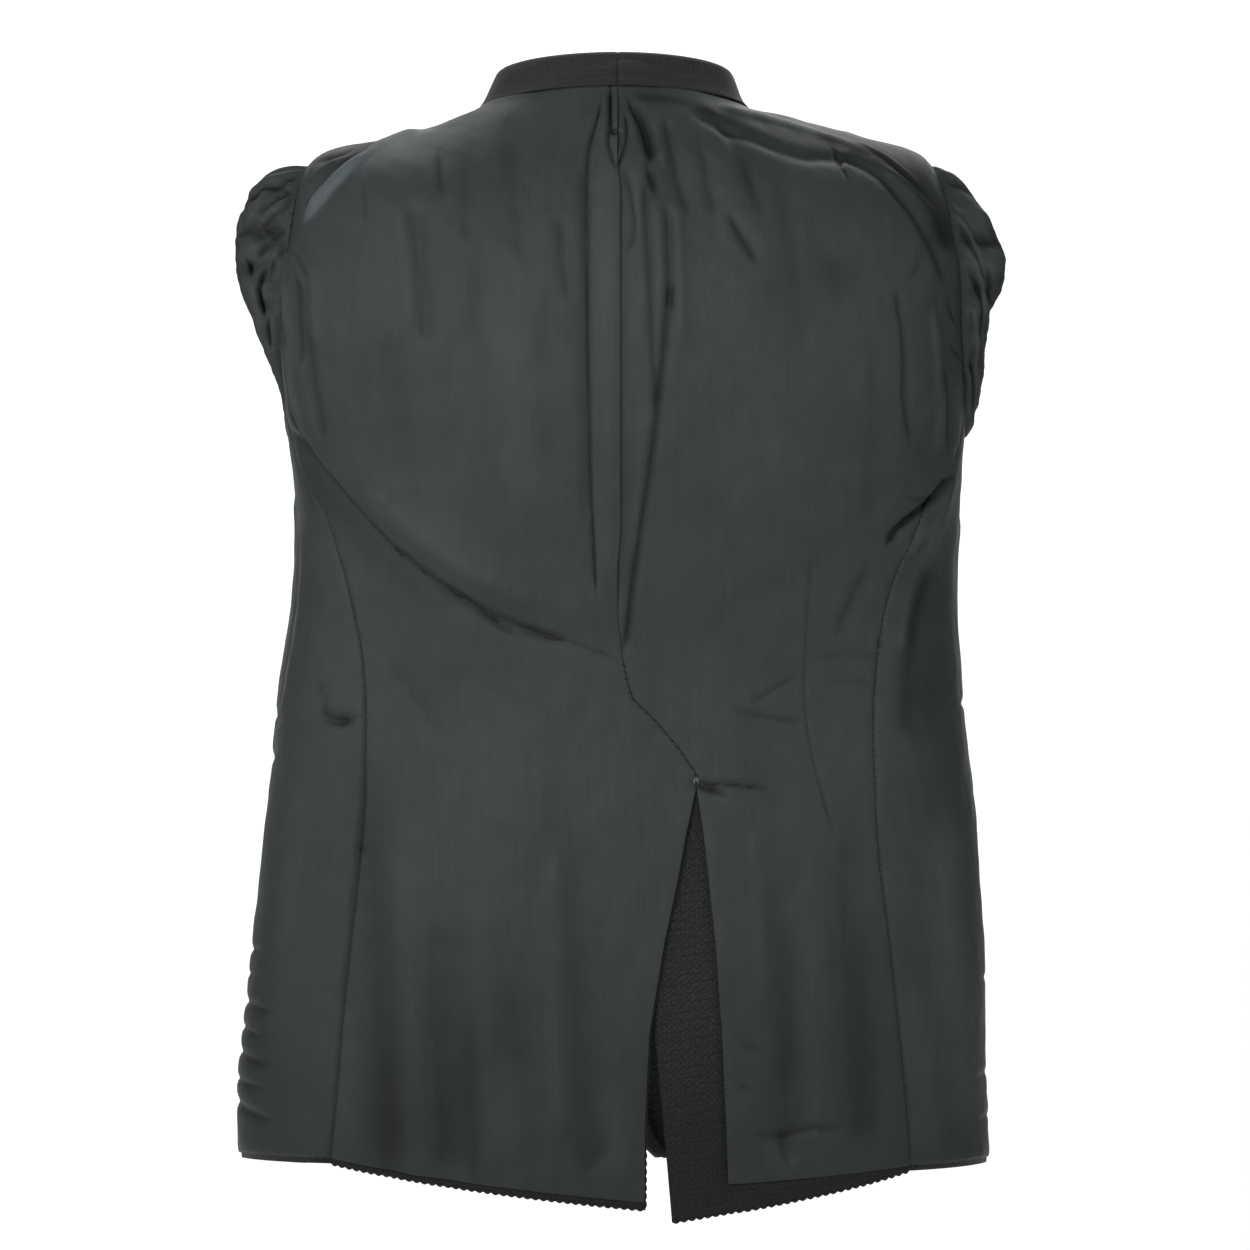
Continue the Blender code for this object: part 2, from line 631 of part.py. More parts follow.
def sleeve_head_points(side):
    """Rings from the armhole seam, out over the puff and back in to the mouth."""
    angle, seam = armhole_seam(side)
    centre = seam.mean(axis=0)
    away = seam - centre
    away[:, 0] = 0
    away /= np.linalg.norm(away, axis=1, keepdims=True)
    seam = seam - away * (LINING_WALL + HEAD_GAP)
    out = np.array([side, 0, 0]) * puff(angle, side)[:, None]
    around = np.radians(angle)
    mouth = np.array([side * MOUTH[0], MOUTH[1], MOUTH[2]]) + np.stack(
        [around * 0, MOUTH_HALF_WIDTH * np.cos(around), MOUTH_HALF_HEIGHT * np.sin(around)], axis=1
    )
    rings = []
    for inward, reach, to_mouth in HEAD_RINGS:
        ring = seam + (centre - seam) * inward + out * reach
        ring = ring + away * (head_folds(angle) * reach)[:, None]
        rings.append(ring * (1 - to_mouth) + mouth * to_mouth)
    return np.array(rings)


def sleeve_points(side):
    around = np.radians(np.linspace(-90, 270, SLEEVE_POINTS, endpoint=False))[:, None]
    rings = []
    for out, forward, height, tilt, half_deep, half_wide in SLEEVE_RINGS:
        centre = np.array([side * out, -forward, height])
        tilt = math.radians(tilt)
        upper = np.array([-side * math.sin(tilt), 0, math.cos(tilt)])
        wide = np.array([0, 1, 0]) * half_wide
        rings.append(centre + wide * np.cos(around) + upper * half_deep * np.sin(around))
    return np.array(rings)


def button(collection):
    """A round covered button on a short shank, facing the wearer."""
    outline = (
        (0.0, BUTTON_THICK),
        (0.70, BUTTON_THICK),
        (0.92, BUTTON_THICK * 0.80),
        (1.0, BUTTON_THICK * 0.45),
        (0.92, BUTTON_THICK * 0.10),
        (0.75, 0.0),
        (0.35, 0.0),
        (0.35, -BUTTON_SHANK),
        (0.0, -BUTTON_SHANK),
    )
    mesh = bpy.data.meshes.new("button")
    points = [(radius * BUTTON_RADIUS, 0, height) for radius, height in outline]
    mesh.from_pydata(points, [(i, i + 1) for i in range(len(points) - 1)], [])
    mesh.materials.append(material("button", BUTTON_COLOUR, 0.4))
    piece = bpy.data.objects.new("button", mesh)
    collection.objects.link(piece)
    turned = piece.modifiers.new("Turned", "SCREW")
    turned.steps = turned.render_steps = 20
    turned.use_merge_vertices = True
    turned.merge_threshold = 0.00001
    turn = turn_at(BUTTON_SET_IN, BUTTON_LEVEL, 1, True)
    normal = outward(turn, BUTTON_LEVEL, 1)
    place = torso(turn, BUTTON_LEVEL, 1) - normal * (SHELL_WALL + SEAM_GAP + BUTTON_SHANK)
    piece.location = place
    piece.rotation_mode = "QUATERNION"
    piece.rotation_quaternion = Vector(-normal).to_track_quat("Z", "Y")
    return piece


def main():
    for existing in list(bpy.data.objects):
        bpy.data.objects.remove(existing, do_unlink=True)
    jacket = bpy.data.collections.new("tuxedo_jacket")
    bpy.context.scene.collection.children.link(jacket)
    for side in (1, -1):
        letter = side_letter(side)
        lining_piece(f"lining_back_{letter}", back_grid(side, True), side, jacket)
        lining_piece(f"lining_side_{letter}", side_grid(side, True), side, jacket)
        _, line, outer = front_edges(side, LINING_HEM_FRONT_SEAM)
        lining_piece(f"lining_front_{letter}", patch(line, outer, FRONT_SHARES, side), side, jacket)
        shell_piece(f"shell_back_{letter}", back_grid(side, False), side, jacket)
        shell_piece(f"shell_side_{letter}", side_grid(side, False), side, jacket)
        shell_piece(f"shell_front_{letter}", front_shell_grid(side), side, jacket)
        cloth(f"facing_{letter}", facing_points(side), FACING_WALL, jacket, side > 0, SHELL_COLOUR, 0.8)
        cloth(
            f"sleeve_lining_{letter}", sleeve_head_points(side), LINING_WALL, jacket,
            side < 0, LINING_COLOUR, 0.36, closed=True,
        )
        cloth(
            f"sleeve_{letter}", sleeve_points(side), SHELL_WALL, jacket,
            side > 0, SHELL_COLOUR, 0.8, closed=True,
        )
    button(jacket)


main()
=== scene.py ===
"""Looks of the tuxedo jacket worn inside out: satin lining outside, jacquard shell inside.

Metres, +Z up. The front is at -Y and the left side, as worn, at +X. Fold tables are in
millimetres.

Every panel lies on one torso surface, torso(turn, level, side), the same one as the
solids have. turn is the angle in degrees from the side (0) to the centre back (90) or
the centre front (-90), and level is the loop's height at the centre back. Rows run from
the hem (0) past the armhole's foot (FOOT_ROW) and top (TIP_ROW) to the neck.
"""
import json
import math

import bpy
import numpy as np
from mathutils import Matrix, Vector

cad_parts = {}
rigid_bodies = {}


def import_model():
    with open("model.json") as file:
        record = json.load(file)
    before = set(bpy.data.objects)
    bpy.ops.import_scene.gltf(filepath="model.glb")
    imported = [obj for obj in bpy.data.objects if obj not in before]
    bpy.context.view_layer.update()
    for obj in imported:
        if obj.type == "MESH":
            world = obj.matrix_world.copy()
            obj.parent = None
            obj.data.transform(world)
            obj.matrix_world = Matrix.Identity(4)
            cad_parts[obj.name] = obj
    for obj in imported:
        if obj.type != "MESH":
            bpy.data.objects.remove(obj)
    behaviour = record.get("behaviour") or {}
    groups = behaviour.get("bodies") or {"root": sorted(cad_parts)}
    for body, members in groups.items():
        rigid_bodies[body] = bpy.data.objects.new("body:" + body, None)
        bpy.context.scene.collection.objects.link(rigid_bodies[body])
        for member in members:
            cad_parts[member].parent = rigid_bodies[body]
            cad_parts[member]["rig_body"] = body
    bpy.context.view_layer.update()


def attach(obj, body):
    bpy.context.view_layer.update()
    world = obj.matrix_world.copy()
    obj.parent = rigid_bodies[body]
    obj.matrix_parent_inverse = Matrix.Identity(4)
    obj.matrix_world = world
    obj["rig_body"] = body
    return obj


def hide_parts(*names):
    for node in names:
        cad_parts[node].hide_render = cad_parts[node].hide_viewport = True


MM = 0.001

# Cloth
SHELL_WALL = 0.0015
LINING_WALL = 0.0010
SEAM_GAP = 0.00002
SEAM_LAP = 0.0008
NECK_GAP = 0.00015
LAYER_GAP = 0.0008
HEAD_GAP = 0.0005

# Loops round the body
LOOP_COLUMNS = ("level", "side_z", "chest_z", "left", "right", "back", "chest", "square")
LOOPS = (
    (-0.775, -0.762, -0.765, 0.2620, 0.2580, 0.128, 0.116, 2.5),
    (-0.690, -0.678, -0.690, 0.2635, 0.2560, 0.127, 0.115, 2.5),
    (-0.600, -0.590, -0.600, 0.2540, 0.2535, 0.124, 0.112, 2.5),
    (-0.500, -0.495, -0.500, 0.2440, 0.2475, 0.116, 0.106, 2.5),
    (-0.410, -0.405, -0.410, 0.2330, 0.2380, 0.106, 0.102, 2.5),
    (-0.330, -0.326, -0.330, 0.2230, 0.2340, 0.109, 0.107, 2.5),
    (-0.270, -0.262, -0.268, 0.2255, 0.2385, 0.118, 0.112, 2.6),
    (-0.225, -0.212, -0.222, 0.2310, 0.2405, 0.123, 0.113, 2.8),
    (-0.180, -0.160, -0.178, 0.2350, 0.2390, 0.124, 0.110, 2.9),
    (-0.138, -0.108, -0.136, 0.2290, 0.2340, 0.120, 0.103, 2.9),
    (-0.104, -0.047, -0.108, 0.2130, 0.2170, 0.111, 0.092, 2.7),
    (-0.062, -0.029, -0.092, 0.1550, 0.1700, 0.096, 0.078, 2.4),
    (-0.026, -0.016, -0.082, 0.1150, 0.1240, 0.079, 0.064, 2.2),
    (0.000, -0.008, -0.074, 0.0955, 0.0900, 0.064, 0.053, 2.2),
    (0.022, 0.0145, -0.058, 0.0835, 0.0785, 0.053, 0.045, 2.5),
)
NECK_LEVEL = 0.0
STAND_LEVEL = 0.022
TIP_LEVEL = -0.104

# Hem levels at the centre back, the side-back seam and the side-front seam, by side
HEM_CENTRE = {1: -0.757, -1: -0.766}
HEM_BACK_SEAM = {1: -0.736, -1: -0.742}
HEM_FRONT_SEAM = -0.766
LINING_HEM_CENTRE = {1: -0.752, -1: -0.741}
LINING_HEM_BACK_SEAM = {1: -0.732, -1: -0.738}
LINING_HEM_FRONT_SEAM = -0.762

# Armhole, and where the side panel's two seams meet it
ARMHOLE_LEVEL = -0.176
ARMHOLE_DROP = 0.072
ARMHOLE_BACK_TURN = 20.0
ARMHOLE_FRONT_TURN = 30.0
BACK_SEAM_ANGLE = -38.0
FRONT_SEAM_ANGLE = 205.0
TOP_ANGLE = 78.0
SHOULDER_TURN = 5.0
FOOT_ROW = 18
TIP_ROW = 23
BACK_TOP_ROW = 27
FRONT_TOP_ROW = 26

# Side-back seam: distance from the centre plane at each level
BACK_SEAM_COLUMNS = ("level", "left", "right")
BACK_SEAM = (
    (-0.775, 0.197, 0.199),
    (-0.700, 0.190, 0.194),
    (-0.600, 0.181, 0.184),
    (-0.500, 0.172, 0.174),
    (-0.410, 0.171, 0.174),
    (-0.350, 0.181, 0.184),
    (-0.300, 0.197, 0.205),
    (-0.250, 0.219, 0.228),
)
BACK_SEAM_CURVE = -0.30
FRONT_SEAM_TURN = -36.0
FRONT_SEAM_CURVE = -0.34

# Centre back, each side's own edge: distance past the centre plane towards its own side
VENT_TOP = -0.478
CENTRE_COLUMNS = ("level", "left", "right", "right_lining")
CENTRE = (
    (-0.775, -0.0180, 0.0375, 0.0750),
    (-0.700, -0.0185, 0.0310, 0.0722),
    (-0.640, -0.0213, 0.0250, 0.0695),
    (-0.580, -0.0313, 0.0285, 0.0652),
    (-0.540, -0.0400, 0.0370, 0.0610),
    (-0.506, -0.0462, 0.0480, 0.0572),
    (-0.478, -0.0525, 0.0528, 0.0530),
    (-0.467, -0.0523, 0.0525, 0.0525),
    (-0.450, -0.0406, 0.0408, 0.0408),
    (-0.431, -0.0243, 0.0245, 0.0245),
    (-0.417, -0.0100, 0.0102, 0.0102),
    (-0.404, -0.0060, 0.0062, 0.0062),
    (-0.388, -0.0030, 0.0031, 0.0031),
    (-0.360, 0.0000, 0.0000, 0.0000),
    (0.022, 0.0000, 0.0000, 0.0000),
)
VENT_SINK = 0.0032
VENT_SINK_RUN = 0.026
VENT_STEP = 0.014

# Ease pleat in the centre back of the lining: the left laps over the right
PLEAT_TOP = -0.020
PLEAT_TOP_FULL = -0.050
PLEAT_FOOT_FULL = -0.300
PLEAT_FOOT = -0.330
PLEAT_LEFT_LAP = 0.002
PLEAT_RIGHT_LAP = 0.008
PLEAT_LAP_RUN = 0.030
PLEAT_LIFT = 0.0024
PLEAT_ROLL = 0.020

# The lining is full above the waist and pulled tight below a curved line
DRAPE_WAIST = -0.386
DRAPE_CURVE = 3.1
DRAPE_LEFT = 0.009
DRAPE_RIGHT = 0.003
DRAPE_STEP = 0.030
DRAPE_FADE = 0.110
DRAPE_MIDDLE = 0.030
DRAPE_SIDE_TURN = 25.0
DRAPE_ARMHOLE = 0.5
DRAPE_NECK = (-0.060, -0.030)

# Front edge and roll line, and the facing's inner edge
EDGE_COLUMNS = ("level", "edge", "facing")
EDGE = (
    (-0.775, 0.040, 0.104),
    (-0.748, 0.020, 0.094),
    (-0.700, 0.011, 0.086),
    (-0.600, 0.008, 0.081),
    (-0.500, 0.007, 0.080),
    (-0.440, 0.007, 0.080),
    (-0.380, 0.013, 0.084),
    (-0.300, 0.028, 0.092),
    (-0.220, 0.045, 0.102),
    (-0.140, 0.063, 0.112),
    (-0.104, 0.071, 0.115),
    (-0.062, 0.079, 0.113),
    (-0.030, 0.084, 0.106),
)
EDGE_TOP = -0.030
ROLL_RUN = 0.020
FACING_TOP_TURN = -12.0
FACING_CURVE = -0.075
ROLL_TOP_COLUMNS = ("level", "turn")
ROLL_TOP = ((-0.030, -50.0), (0.002, -30.0), (0.015, -12.0), (0.022, 5.0))
NECK_SINK = 0.0018
NECK_SINK_LEVELS = (-0.070, -0.030)

# The collar and lapel fold in at the roll line
FOLD_DEPTH = 0.0080
FALL_COLUMNS = ("along", "width")
FALL = ((0.00, 0.008), (0.33, 0.008), (0.56, 0.052), (0.70, 0.062), (0.80, 0.050), (1.00, 0.040))

# Sleeve head: shares inwards from the armhole, outwards, and towards the mouth's shape
HEAD_COLUMNS = ("inward", "reach", "to_mouth")
HEAD_RINGS = (
    (0.000, 0.00, 0.0),
    (0.005, 0.34, 0.0),
    (0.050, 0.72, 0.0),
    (0.160, 0.96, 0.0),
    (0.300, 0.98, 0.0),
    (0.400, 0.76, 0.15),
    (0.460, 0.40, 0.45),
    (0.480, 0.10, 0.80),
    (0.480, 0.00, 1.0),
)
PUFF_COLUMNS = ("angle", "left", "right")
PUFF = (
    (-90, 0.002, 0.005),
    (-45, 0.004, 0.013),
    (0, 0.022, 0.022),
    (35, 0.038, 0.036),
    (65, 0.040, 0.026),
    (90, 0.038, 0.018),
    (140, 0.036, 0.028),
    (180, 0.022, 0.024),
    (225, 0.006, 0.010),
    (270, 0.002, 0.005),
)
MOUTH = (0.200, 0.000, -0.150)
MOUTH_HALF_HEIGHT = 0.044
MOUTH_HALF_WIDTH = 0.036

# Sleeve inside the body, ring by ring from the mouth to the cuff
SLEEVE_COLUMNS = ("out", "forward", "height", "tilt", "half_deep", "half_wide")
SLEEVE_RINGS = (
    (0.1985, 0.000, -0.150, 0, 0.0442, 0.0362),
    (0.1860, 0.000, -0.157, 15, 0.0460, 0.0440),
    (0.1800, 0.000, -0.178, 45, 0.0450, 0.0530),
    (0.1800, 0.000, -0.215, 80, 0.0340, 0.0600),
    (0.1760, 0.000, -0.270, 90, 0.0280, 0.0630),
    (0.1710, 0.002, -0.340, 90, 0.0260, 0.0630),
    (0.1710, 0.004, -0.420, 90, 0.0260, 0.0620),
    (0.1750, 0.008, -0.500, 90, 0.0255, 0.0600),
    (0.1780, 0.012, -0.580, 90, 0.0250, 0.0580),
    (0.1800, 0.018, -0.655, 90, 0.0240, 0.0560),
)

# Folds of the back, seen in the plane of x and z. A row is a path, the fold's width and
# its height, which is below 0 for a trough, and at times its lean: how many times wider
# it is towards -x, for a path drawn downwards, than towards +x.
BACK_FOLDS = (
    # crease left of the pleat
    (
        ((10, -6), (14, -26), (19, -44), (20, -56), (20, -110), (19, -200), (17, -292), (14, -350)),
        1.4, -2.6,
    ),
    (((22, -52), (21, -120), (20, -300)), 4.5, -1.3, 0.5),
    # slit, loop and bunched end at the top of the pleat
    (((5, 4), (5, -18), (4, -40)), 1.9, -3.8),
    (((6, -22), (6, -44), (3, -55), (0, -66)), 1.2, -2.6),
    (((6, -29), (1, -35), (-4, -33)), 2.6, -5),
    (((-3, -14), (-6, -30), (-5, -44), (-1, -54), (0, -66)), 1.2, -2.6),
    (((2, -38), (0, -46), (0, -56)), 1.4, 1.6),
    # wavy edge right of the pleat
    (((-4, -54), (-6, -66), (-10, -86), (-12, -104), (-9, -114), (-2, -122)), 1.1, -1.6, 2),
    (((-6, -64), (-9, -90), (-9, -108)), 2.2, 0.7),
    # folds falling from the neck, right of the pleat
    (((-5, -6), (-12, -20), (-17, -32), (-20, -44), (-23, -60)), 2.6, -4.6, 1.8),
    (((-20, -14), (-27, -34), (-32, -60)), 3.4, 1.6),
    (((-19, -52), (-21, -64), (-26, -82)), 2.1, -3.6, 1.5),
    (((-18, -66), (-19, -100), (-21, -130), (-23, -180), (-25, -230)), 1.7, -2.2, 1.8),
    (((-28, -84), (-29, -120), (-30, -166)), 3, 1.1),
    (((-33, -84), (-34, -120), (-36, -164)), 2.4, -2, 1.5),
    (((-40, -80), (-41, -124), (-43, -180)), 3.4, 1.2, 1.2),
    (((-31, -20), (-38, -56), (-47, -94)), 3.6, -2, 1.6),
    (((-54, -34), (-60, -64), (-66, -98)), 4, -1.3, 1.3),
    (((-66, -18), (-80, -46), (-92, -76), (-100, -96)), 4.6, -1.8, 1.5),
    (((-72, -88), (-82, -106), (-95, -130)), 2.2, -2.6, 1.8),
    (((-34, -134), (-30, -190), (-22, -255), (-12, -322), (-4, -388)), 1.9, -2.8, 1.8),
    (((-28, -160), (-20, -240), (-11, -320)), 4.4, 1.3),
    # folds falling from the neck, left
    (((124, -44), (121, -62), (117, -86)), 1.6, -1.7, 1.5),
    (((138, -80), (134, -110), (130, -140), (126, -184)), 4.2, -2, 1.5),
    (((148, -80), (144, -124), (138, -176)), 5, 1),
    (((172, -66), (171, -80), (169, -100)), 1.8, -1.2, 1.3),
    (((63, -62), (60, -78), (56, -96)), 1.1, -0.9),
    (((39, -88), (36, -116), (32, -156)), 4.4, -1.2, 1.3),
    (((72, -14), (70, -60), (64, -128)), 7, -1.3, 1.3),
    (((98, -24), (100, -60), (101, -116)), 5.4, -1.2, 1.2),
    (((46, -140), (47, -210), (44, -280)), 8, -1.2, 1.3),
    (((92, -110), (86, -200), (72, -310)), 9, -1.4, 1.3),
    (((158, -166), (146, -230), (128, -300)), 7, -1.4, 1.3),
    (((188, -156), (180, -210), (164, -272)), 5, 1.4, 1.2),
    # blouse above the waist, left
    (
        ((228, -228), (196, -262), (166, -297), (140, -324), (110, -346), (66, -368), (30, -378)),
        5.4, -3.2, 0.6,
    ),
    (((122, -336), (98, -352), (78, -368), (62, -376)), 2.2, -1.8, 0.6),
    (((72, -366), (48, -374), (24, -381), (-3, -392)), 2.2, -1.6, 0.6),
    (((172, -272), (140, -302), (100, -332), (50, -356)), 6, 2),
    # creases fanning down from the left armhole
    (((229, -100), (223, -150), (218, -200), (206, -240), (180, -280), (140, -322)), 1.7, 2.4, 1.4),
    (((228, -132), (224, -158), (219, -186)), 1.3, -2.2, 1.2),
    (((221, -112), (215, -126), (207, -146)), 1, 1.2, 1.2),
    (((223, -108), (214, -122), (204, -140)), 1.3, -1.6, 1.2),
    (((217, -126), (215, -150), (211, -194)), 3.2, -2.4, 1.4),
    (((236, -178), (228, -200), (214, -234), (200, -252)), 2.8, -3.4, 1.4),
    (((208, -164), (202, -204), (192, -246)), 2.8, -1.8, 1.4),
    (((205, -118), (203, -150), (198, -186)), 2.8, 1.2, 1.2),
    # crest of the left shoulder
    (((132, -24), (156, -36), (179, -54), (201, -76), (214, -92)), 3.2, 3.8),
    (((152, -29), (172, -42), (192, -60), (213, -82)), 1.8, -3, 0.8),
    # wrinkles of the left shoulder beside the crest
    (((212, -52), (194, -49), (176, -41)), 1.6, -2, 1.2),
    (((207, -71), (196, -62), (182, -52), (163, -41)), 2, -2.6, 1.2),
    (((213, -66), (198, -55), (184, -47)), 1.3, 1.6, 1.2),
    (((212, -90), (208, -80), (206, -70)), 1.6, -2.6, 1.2),
    # waist, left
    (((206, -400), (200, -416), (196, -438)), 1.5, -1.6, 1.5),
    (((206, -424), (194, -432), (184, -433), (172, -430)), 2.8, -3.4, 1.6),
    (((192, -426), (187, -432), (180, -440)), 3.6, -2.4),
    (((178, -397), (176, -403), (174, -411)), 1.5, -1.4),
    (((174, -511), (172, -519), (170, -528)), 1.5, -1.4),
    (((156, -392), (138, -416), (116, -448)), 6, -1, 1.3),
    # soft upright folds of the skirt, left
    (((172, -450), (166, -540), (156, -640), (150, -748)), 11, -2.6, 1.5),
    (((146, -520), (140, -620), (134, -746)), 8, 2, 1.2),
    (((122, -560), (116, -650), (112, -748)), 10, -2.4, 1.6),
    (((92, -540), (88, -640), (84, -748)), 9, 2.2, 1.2),
    (((70, -600), (62, -660), (56, -748)), 9, -2.2, 1.4),
    (((42, -520), (40, -620), (38, -720)), 8, 1.8, 1.2),
    (((28, -500), (24, -600), (18, -748)), 10, -1.8, 1.6),
    (((22, -738), (12, -722), (2, -704)), 6, -1.2, 1.4),
    # puckers down the left hem's side
    (((270, -586), (258, -592), (236, -592)), 2.8, -1.9, 1.2),
    (((270, -604), (259, -609), (240, -609)), 2.2, -1.5, 1.2),
    (((272, -622), (260, -628), (230, -632)), 3.2, -2.3, 1.2),
    (((272, -640), (261, -646), (238, -650)), 2.6, -2, 1.2),
    (((274, -655), (262, -663), (232, -669)), 3.4, -2.4, 1.2),
    (((274, -676), (262, -682), (238, -683)), 2.6, -2, 1.2),
    (((274, -690), (262, -698), (230, -706)), 3.2, -2.2, 1.2),
    (((-266, -604), (-256, -611), (-240, -611)), 2.4, -1.1, 1.2),
    (((-268, -668), (-258, -676), (-238, -679)), 2.8, -1.3, 1.2),
    (((-268, -700), (-259, -706), (-240, -707)), 2.2, -1.1, 1.2),
    # crest of the right shoulder and the fold under it
    (((-64, -12), (-104, -22), (-144, -34), (-176, -48)), 3, 1.9),
    (((-158, -36), (-184, -50), (-210, -74)), 1.5, 2.2),
    (((-178, -54), (-200, -72), (-220, -98)), 1.6, 1.8),
    (((-46, -18), (-86, -36), (-124, -50), (-160, -51)), 5, -2.6),
    (((-146, -48), (-172, -58), (-196, -82), (-212, -108), (-224, -140)), 4.6, -4.4),
    (((-145, -40), (-152, -56), (-158, -74)), 1.5, -2.8, 1.5),
    (((-152, -46), (-158, -60), (-162, -78)), 1.5, 1.4),
    (((-130, -96), (-146, -130), (-150, -166)), 9, -1.4),
    (((-186, -138), (-191, -178), (-191, -214), (-197, -250)), 1.2, -1.9, 2.6),
    (((-110, -60), (-118, -120), (-124, -190)), 7, -1.3, 1.3),
    (((-220, -143), (-226, -156), (-233, -168)), 1.3, -3.2, 1.3),
    (((-221, -176), (-228, -181), (-236, -188)), 1.3, -3.2, 1.3),
    (((-208, -118), (-200, -128), (-194, -138)), 1.4, -1.4, 1.2),
    (((-212, -150), (-216, -200), (-219, -254)), 2.8, 1.6, 1.3),
    (((-217, -186), (-223, -216), (-226, -250)), 2.2, -2, 1.3),
    (((-170, -160), (-172, -230), (-168, -300)), 7, -1.2, 1.2),
    # pull under the right armhole
    (((-180, -316), (-188, -305), (-200, -294), (-216, -281), (-232, -260)), 2.3, -5.4, 1.6),
    (((-182, -314), (-188, -307), (-193, -301)), 3.2, -2.6),
    (((-188, -281), (-202, -282), (-216, -279)), 1.3, -2.2, 1.3),
    (((-192, -324), (-204, -310), (-220, -294)), 3.2, 2.4, 1.2),
    (((-172, -322), (-160, -348), (-146, -380)), 4.4, -1.6, 1.3),
    (((-228, -256), (-221, -290), (-206, -326), (-196, -356), (-188, -392)), 2.8, 3, 1.6),
    (((-218, -318), (-206, -350), (-200, -400), (-196, -450)), 6, -2.4, 1.2),
    # waist, right
    (((-84, -422), (-104, -412), (-124, -400)), 1.2, -1.4, 1.5),
    (((-70, -422), (-98, -429), (-130, -435)), 1.2, -1.6, 1.5),
    (((-126, -393), (-150, -388), (-186, -390)), 2.2, -0.7, 1.3),
    (((-136, -407), (-156, -405), (-180, -409)), 1.8, -0.6, 1.3),
    (((-181, -466), (-189, -474), (-199, -482)), 1.1, -1.1),
    (((-184, -474), (-192, -482), (-202, -490)), 1.1, -1.1),
    (((-175, -374), (-177, -381), (-178, -388)), 1.6, -1.6),
    (((-184, -356), (-187, -362), (-189, -369)), 1.6, -1.6),
    (((-130, -320), (-127, -370), (-126, -420), (-130, -452), (-146, -512)), 1.2, -1, 1.4),
    # vent top and skirt, right
    (((-45, -472), (-60, -474), (-78, -475), (-106, -478)), 1.1, -3.2, 1.3),
    (((-47, -474), (-60, -477), (-74, -483)), 2.2, -3.2),
    (((-46, -473), (-60, -476), (-72, -480), (-80, -483)), 1.4, -2.8, 1.3),
    (((-60, -482), (-76, -487), (-96, -494)), 2.8, 1.2),
    (((-108, -700), (-112, -716), (-116, -734)), 4, -2, 1.4),
    (((-86, -706), (-108, -709), (-134, -704), (-156, -705)), 2.6, -1.7, 1.5),
    (((-76, -671), (-84, -676), (-94, -681)), 1.5, -1.5, 1.4),
    (((-78, -640), (-88, -650), (-100, -654)), 2.4, -1.3, 1.4),
    (((-104, -530), (-110, -620), (-114, -736)), 9, -2.4, 1.3),
    (((-130, -520), (-134, -620), (-138, -736)), 9, 2.2, 1.2),
    (((-156, -500), (-160, -620), (-166, -732)), 10, -2.4, 1.4),
    (((-92, -500), (-96, -560), (-98, -620)), 5, 1, 1.2),
)

# Folds of the two sides, seen in the plane of y and z, and of the front lining, seen
# in the plane of x and z
SIDE_FOLDS = {
    1: (
        (((20, -262), (26, -340), (24, -430)), 7, -2.2, 1.3),
        (((2, -270), (-4, -360), (-2, -470)), 6, 2, 1.2),
        (((-20, -280), (-26, -380), (-22, -500)), 7, -2, 1.4),
        (((-44, -300), (-50, -420), (-52, -560)), 8, 1.6, 1.2),
        (((10, -470), (4, -600), (8, -740)), 9, -2, 1.3),
        (((-30, -520), (-34, -640), (-30, -750)), 8, 1.8, 1.3),
        (((40, -430), (16, -436), (-14, -426)), 2.6, -2.2, 1.5),
        (((34, -452), (10, -462), (-20, -456)), 3, -1.7, 1.5),
    ),
    -1: (
        (((26, -270), (10, -284), (-14, -290)), 2.4, -2.6, 1.5),
        (((18, -300), (20, -380), (14, -470)), 6, -2.2, 1.3),
        (((-2, -280), (-8, -380), (-6, -500)), 7, 2, 1.2),
        (((-28, -290), (-32, -400), (-30, -520)), 8, -1.9, 1.4),
        (((-52, -310), (-56, -430), (-50, -540)), 7, 1.5, 1.2),
        (((16, -500), (10, -620), (12, -740)), 8, -1.8, 1.3),
        (((-24, -540), (-28, -650), (-26, -750)), 9, 1.7, 1.3),
        (((30, -690), (8, -698), (-18, -692)), 2.2, -1.9, 1.4),
        (((26, -414), (4, -424), (-24, -418)), 2.6, -1.9, 1.5),
    ),
}
FRONT_FOLDS = (
    (((118, -60), (126, -140), (132, -240)), 6, -2, 1.3),
    (((150, -70), (158, -150), (156, -250)), 6, 1.7, 1.2),
    (((182, -90), (176, -170), (170, -280)), 5, -1.8, 1.3),
    (((196, -250), (160, -300), (118, -330)), 4, -2.6, 1.6),
    (((180, -300), (150, -340), (110, -366)), 3, -2, 1.5),
    (((120, -420), (124, -540), (128, -700)), 8, -1.9, 1.3),
    (((152, -440), (158, -580), (160, -720)), 8, 1.7, 1.2),
    (((180, -460), (188, -600), (192, -730)), 7, -1.7, 1.3),
    (((104, -640), (130, -652), (160, -646)), 2.2, -1.4, 1.4),
    (((-116, -50), (-122, -130), (-120, -220)), 5, -1.9, 1.3),
    (((-146, -64), (-152, -160), (-160, -260)), 7, 1.6, 1.2),
    (((-178, -84), (-180, -170), (-172, -262)), 5, -2, 1.3),
    (((-204, -262), (-170, -296), (-128, -312)), 3.4, -2.8, 1.6),
    (((-190, -318), (-158, -352), (-120, -372)), 3, -1.7, 1.5),
    (((-118, -400), (-122, -520), (-118, -690)), 7, -1.8, 1.3),
    (((-148, -430), (-150, -560), (-156, -730)), 8, 1.5, 1.2),
    (((-182, -440), (-190, -590), (-188, -720)), 8, -1.9, 1.3),
    (((-110, -560), (-140, -574), (-170, -566)), 2.4, -1.3, 1.4),
)

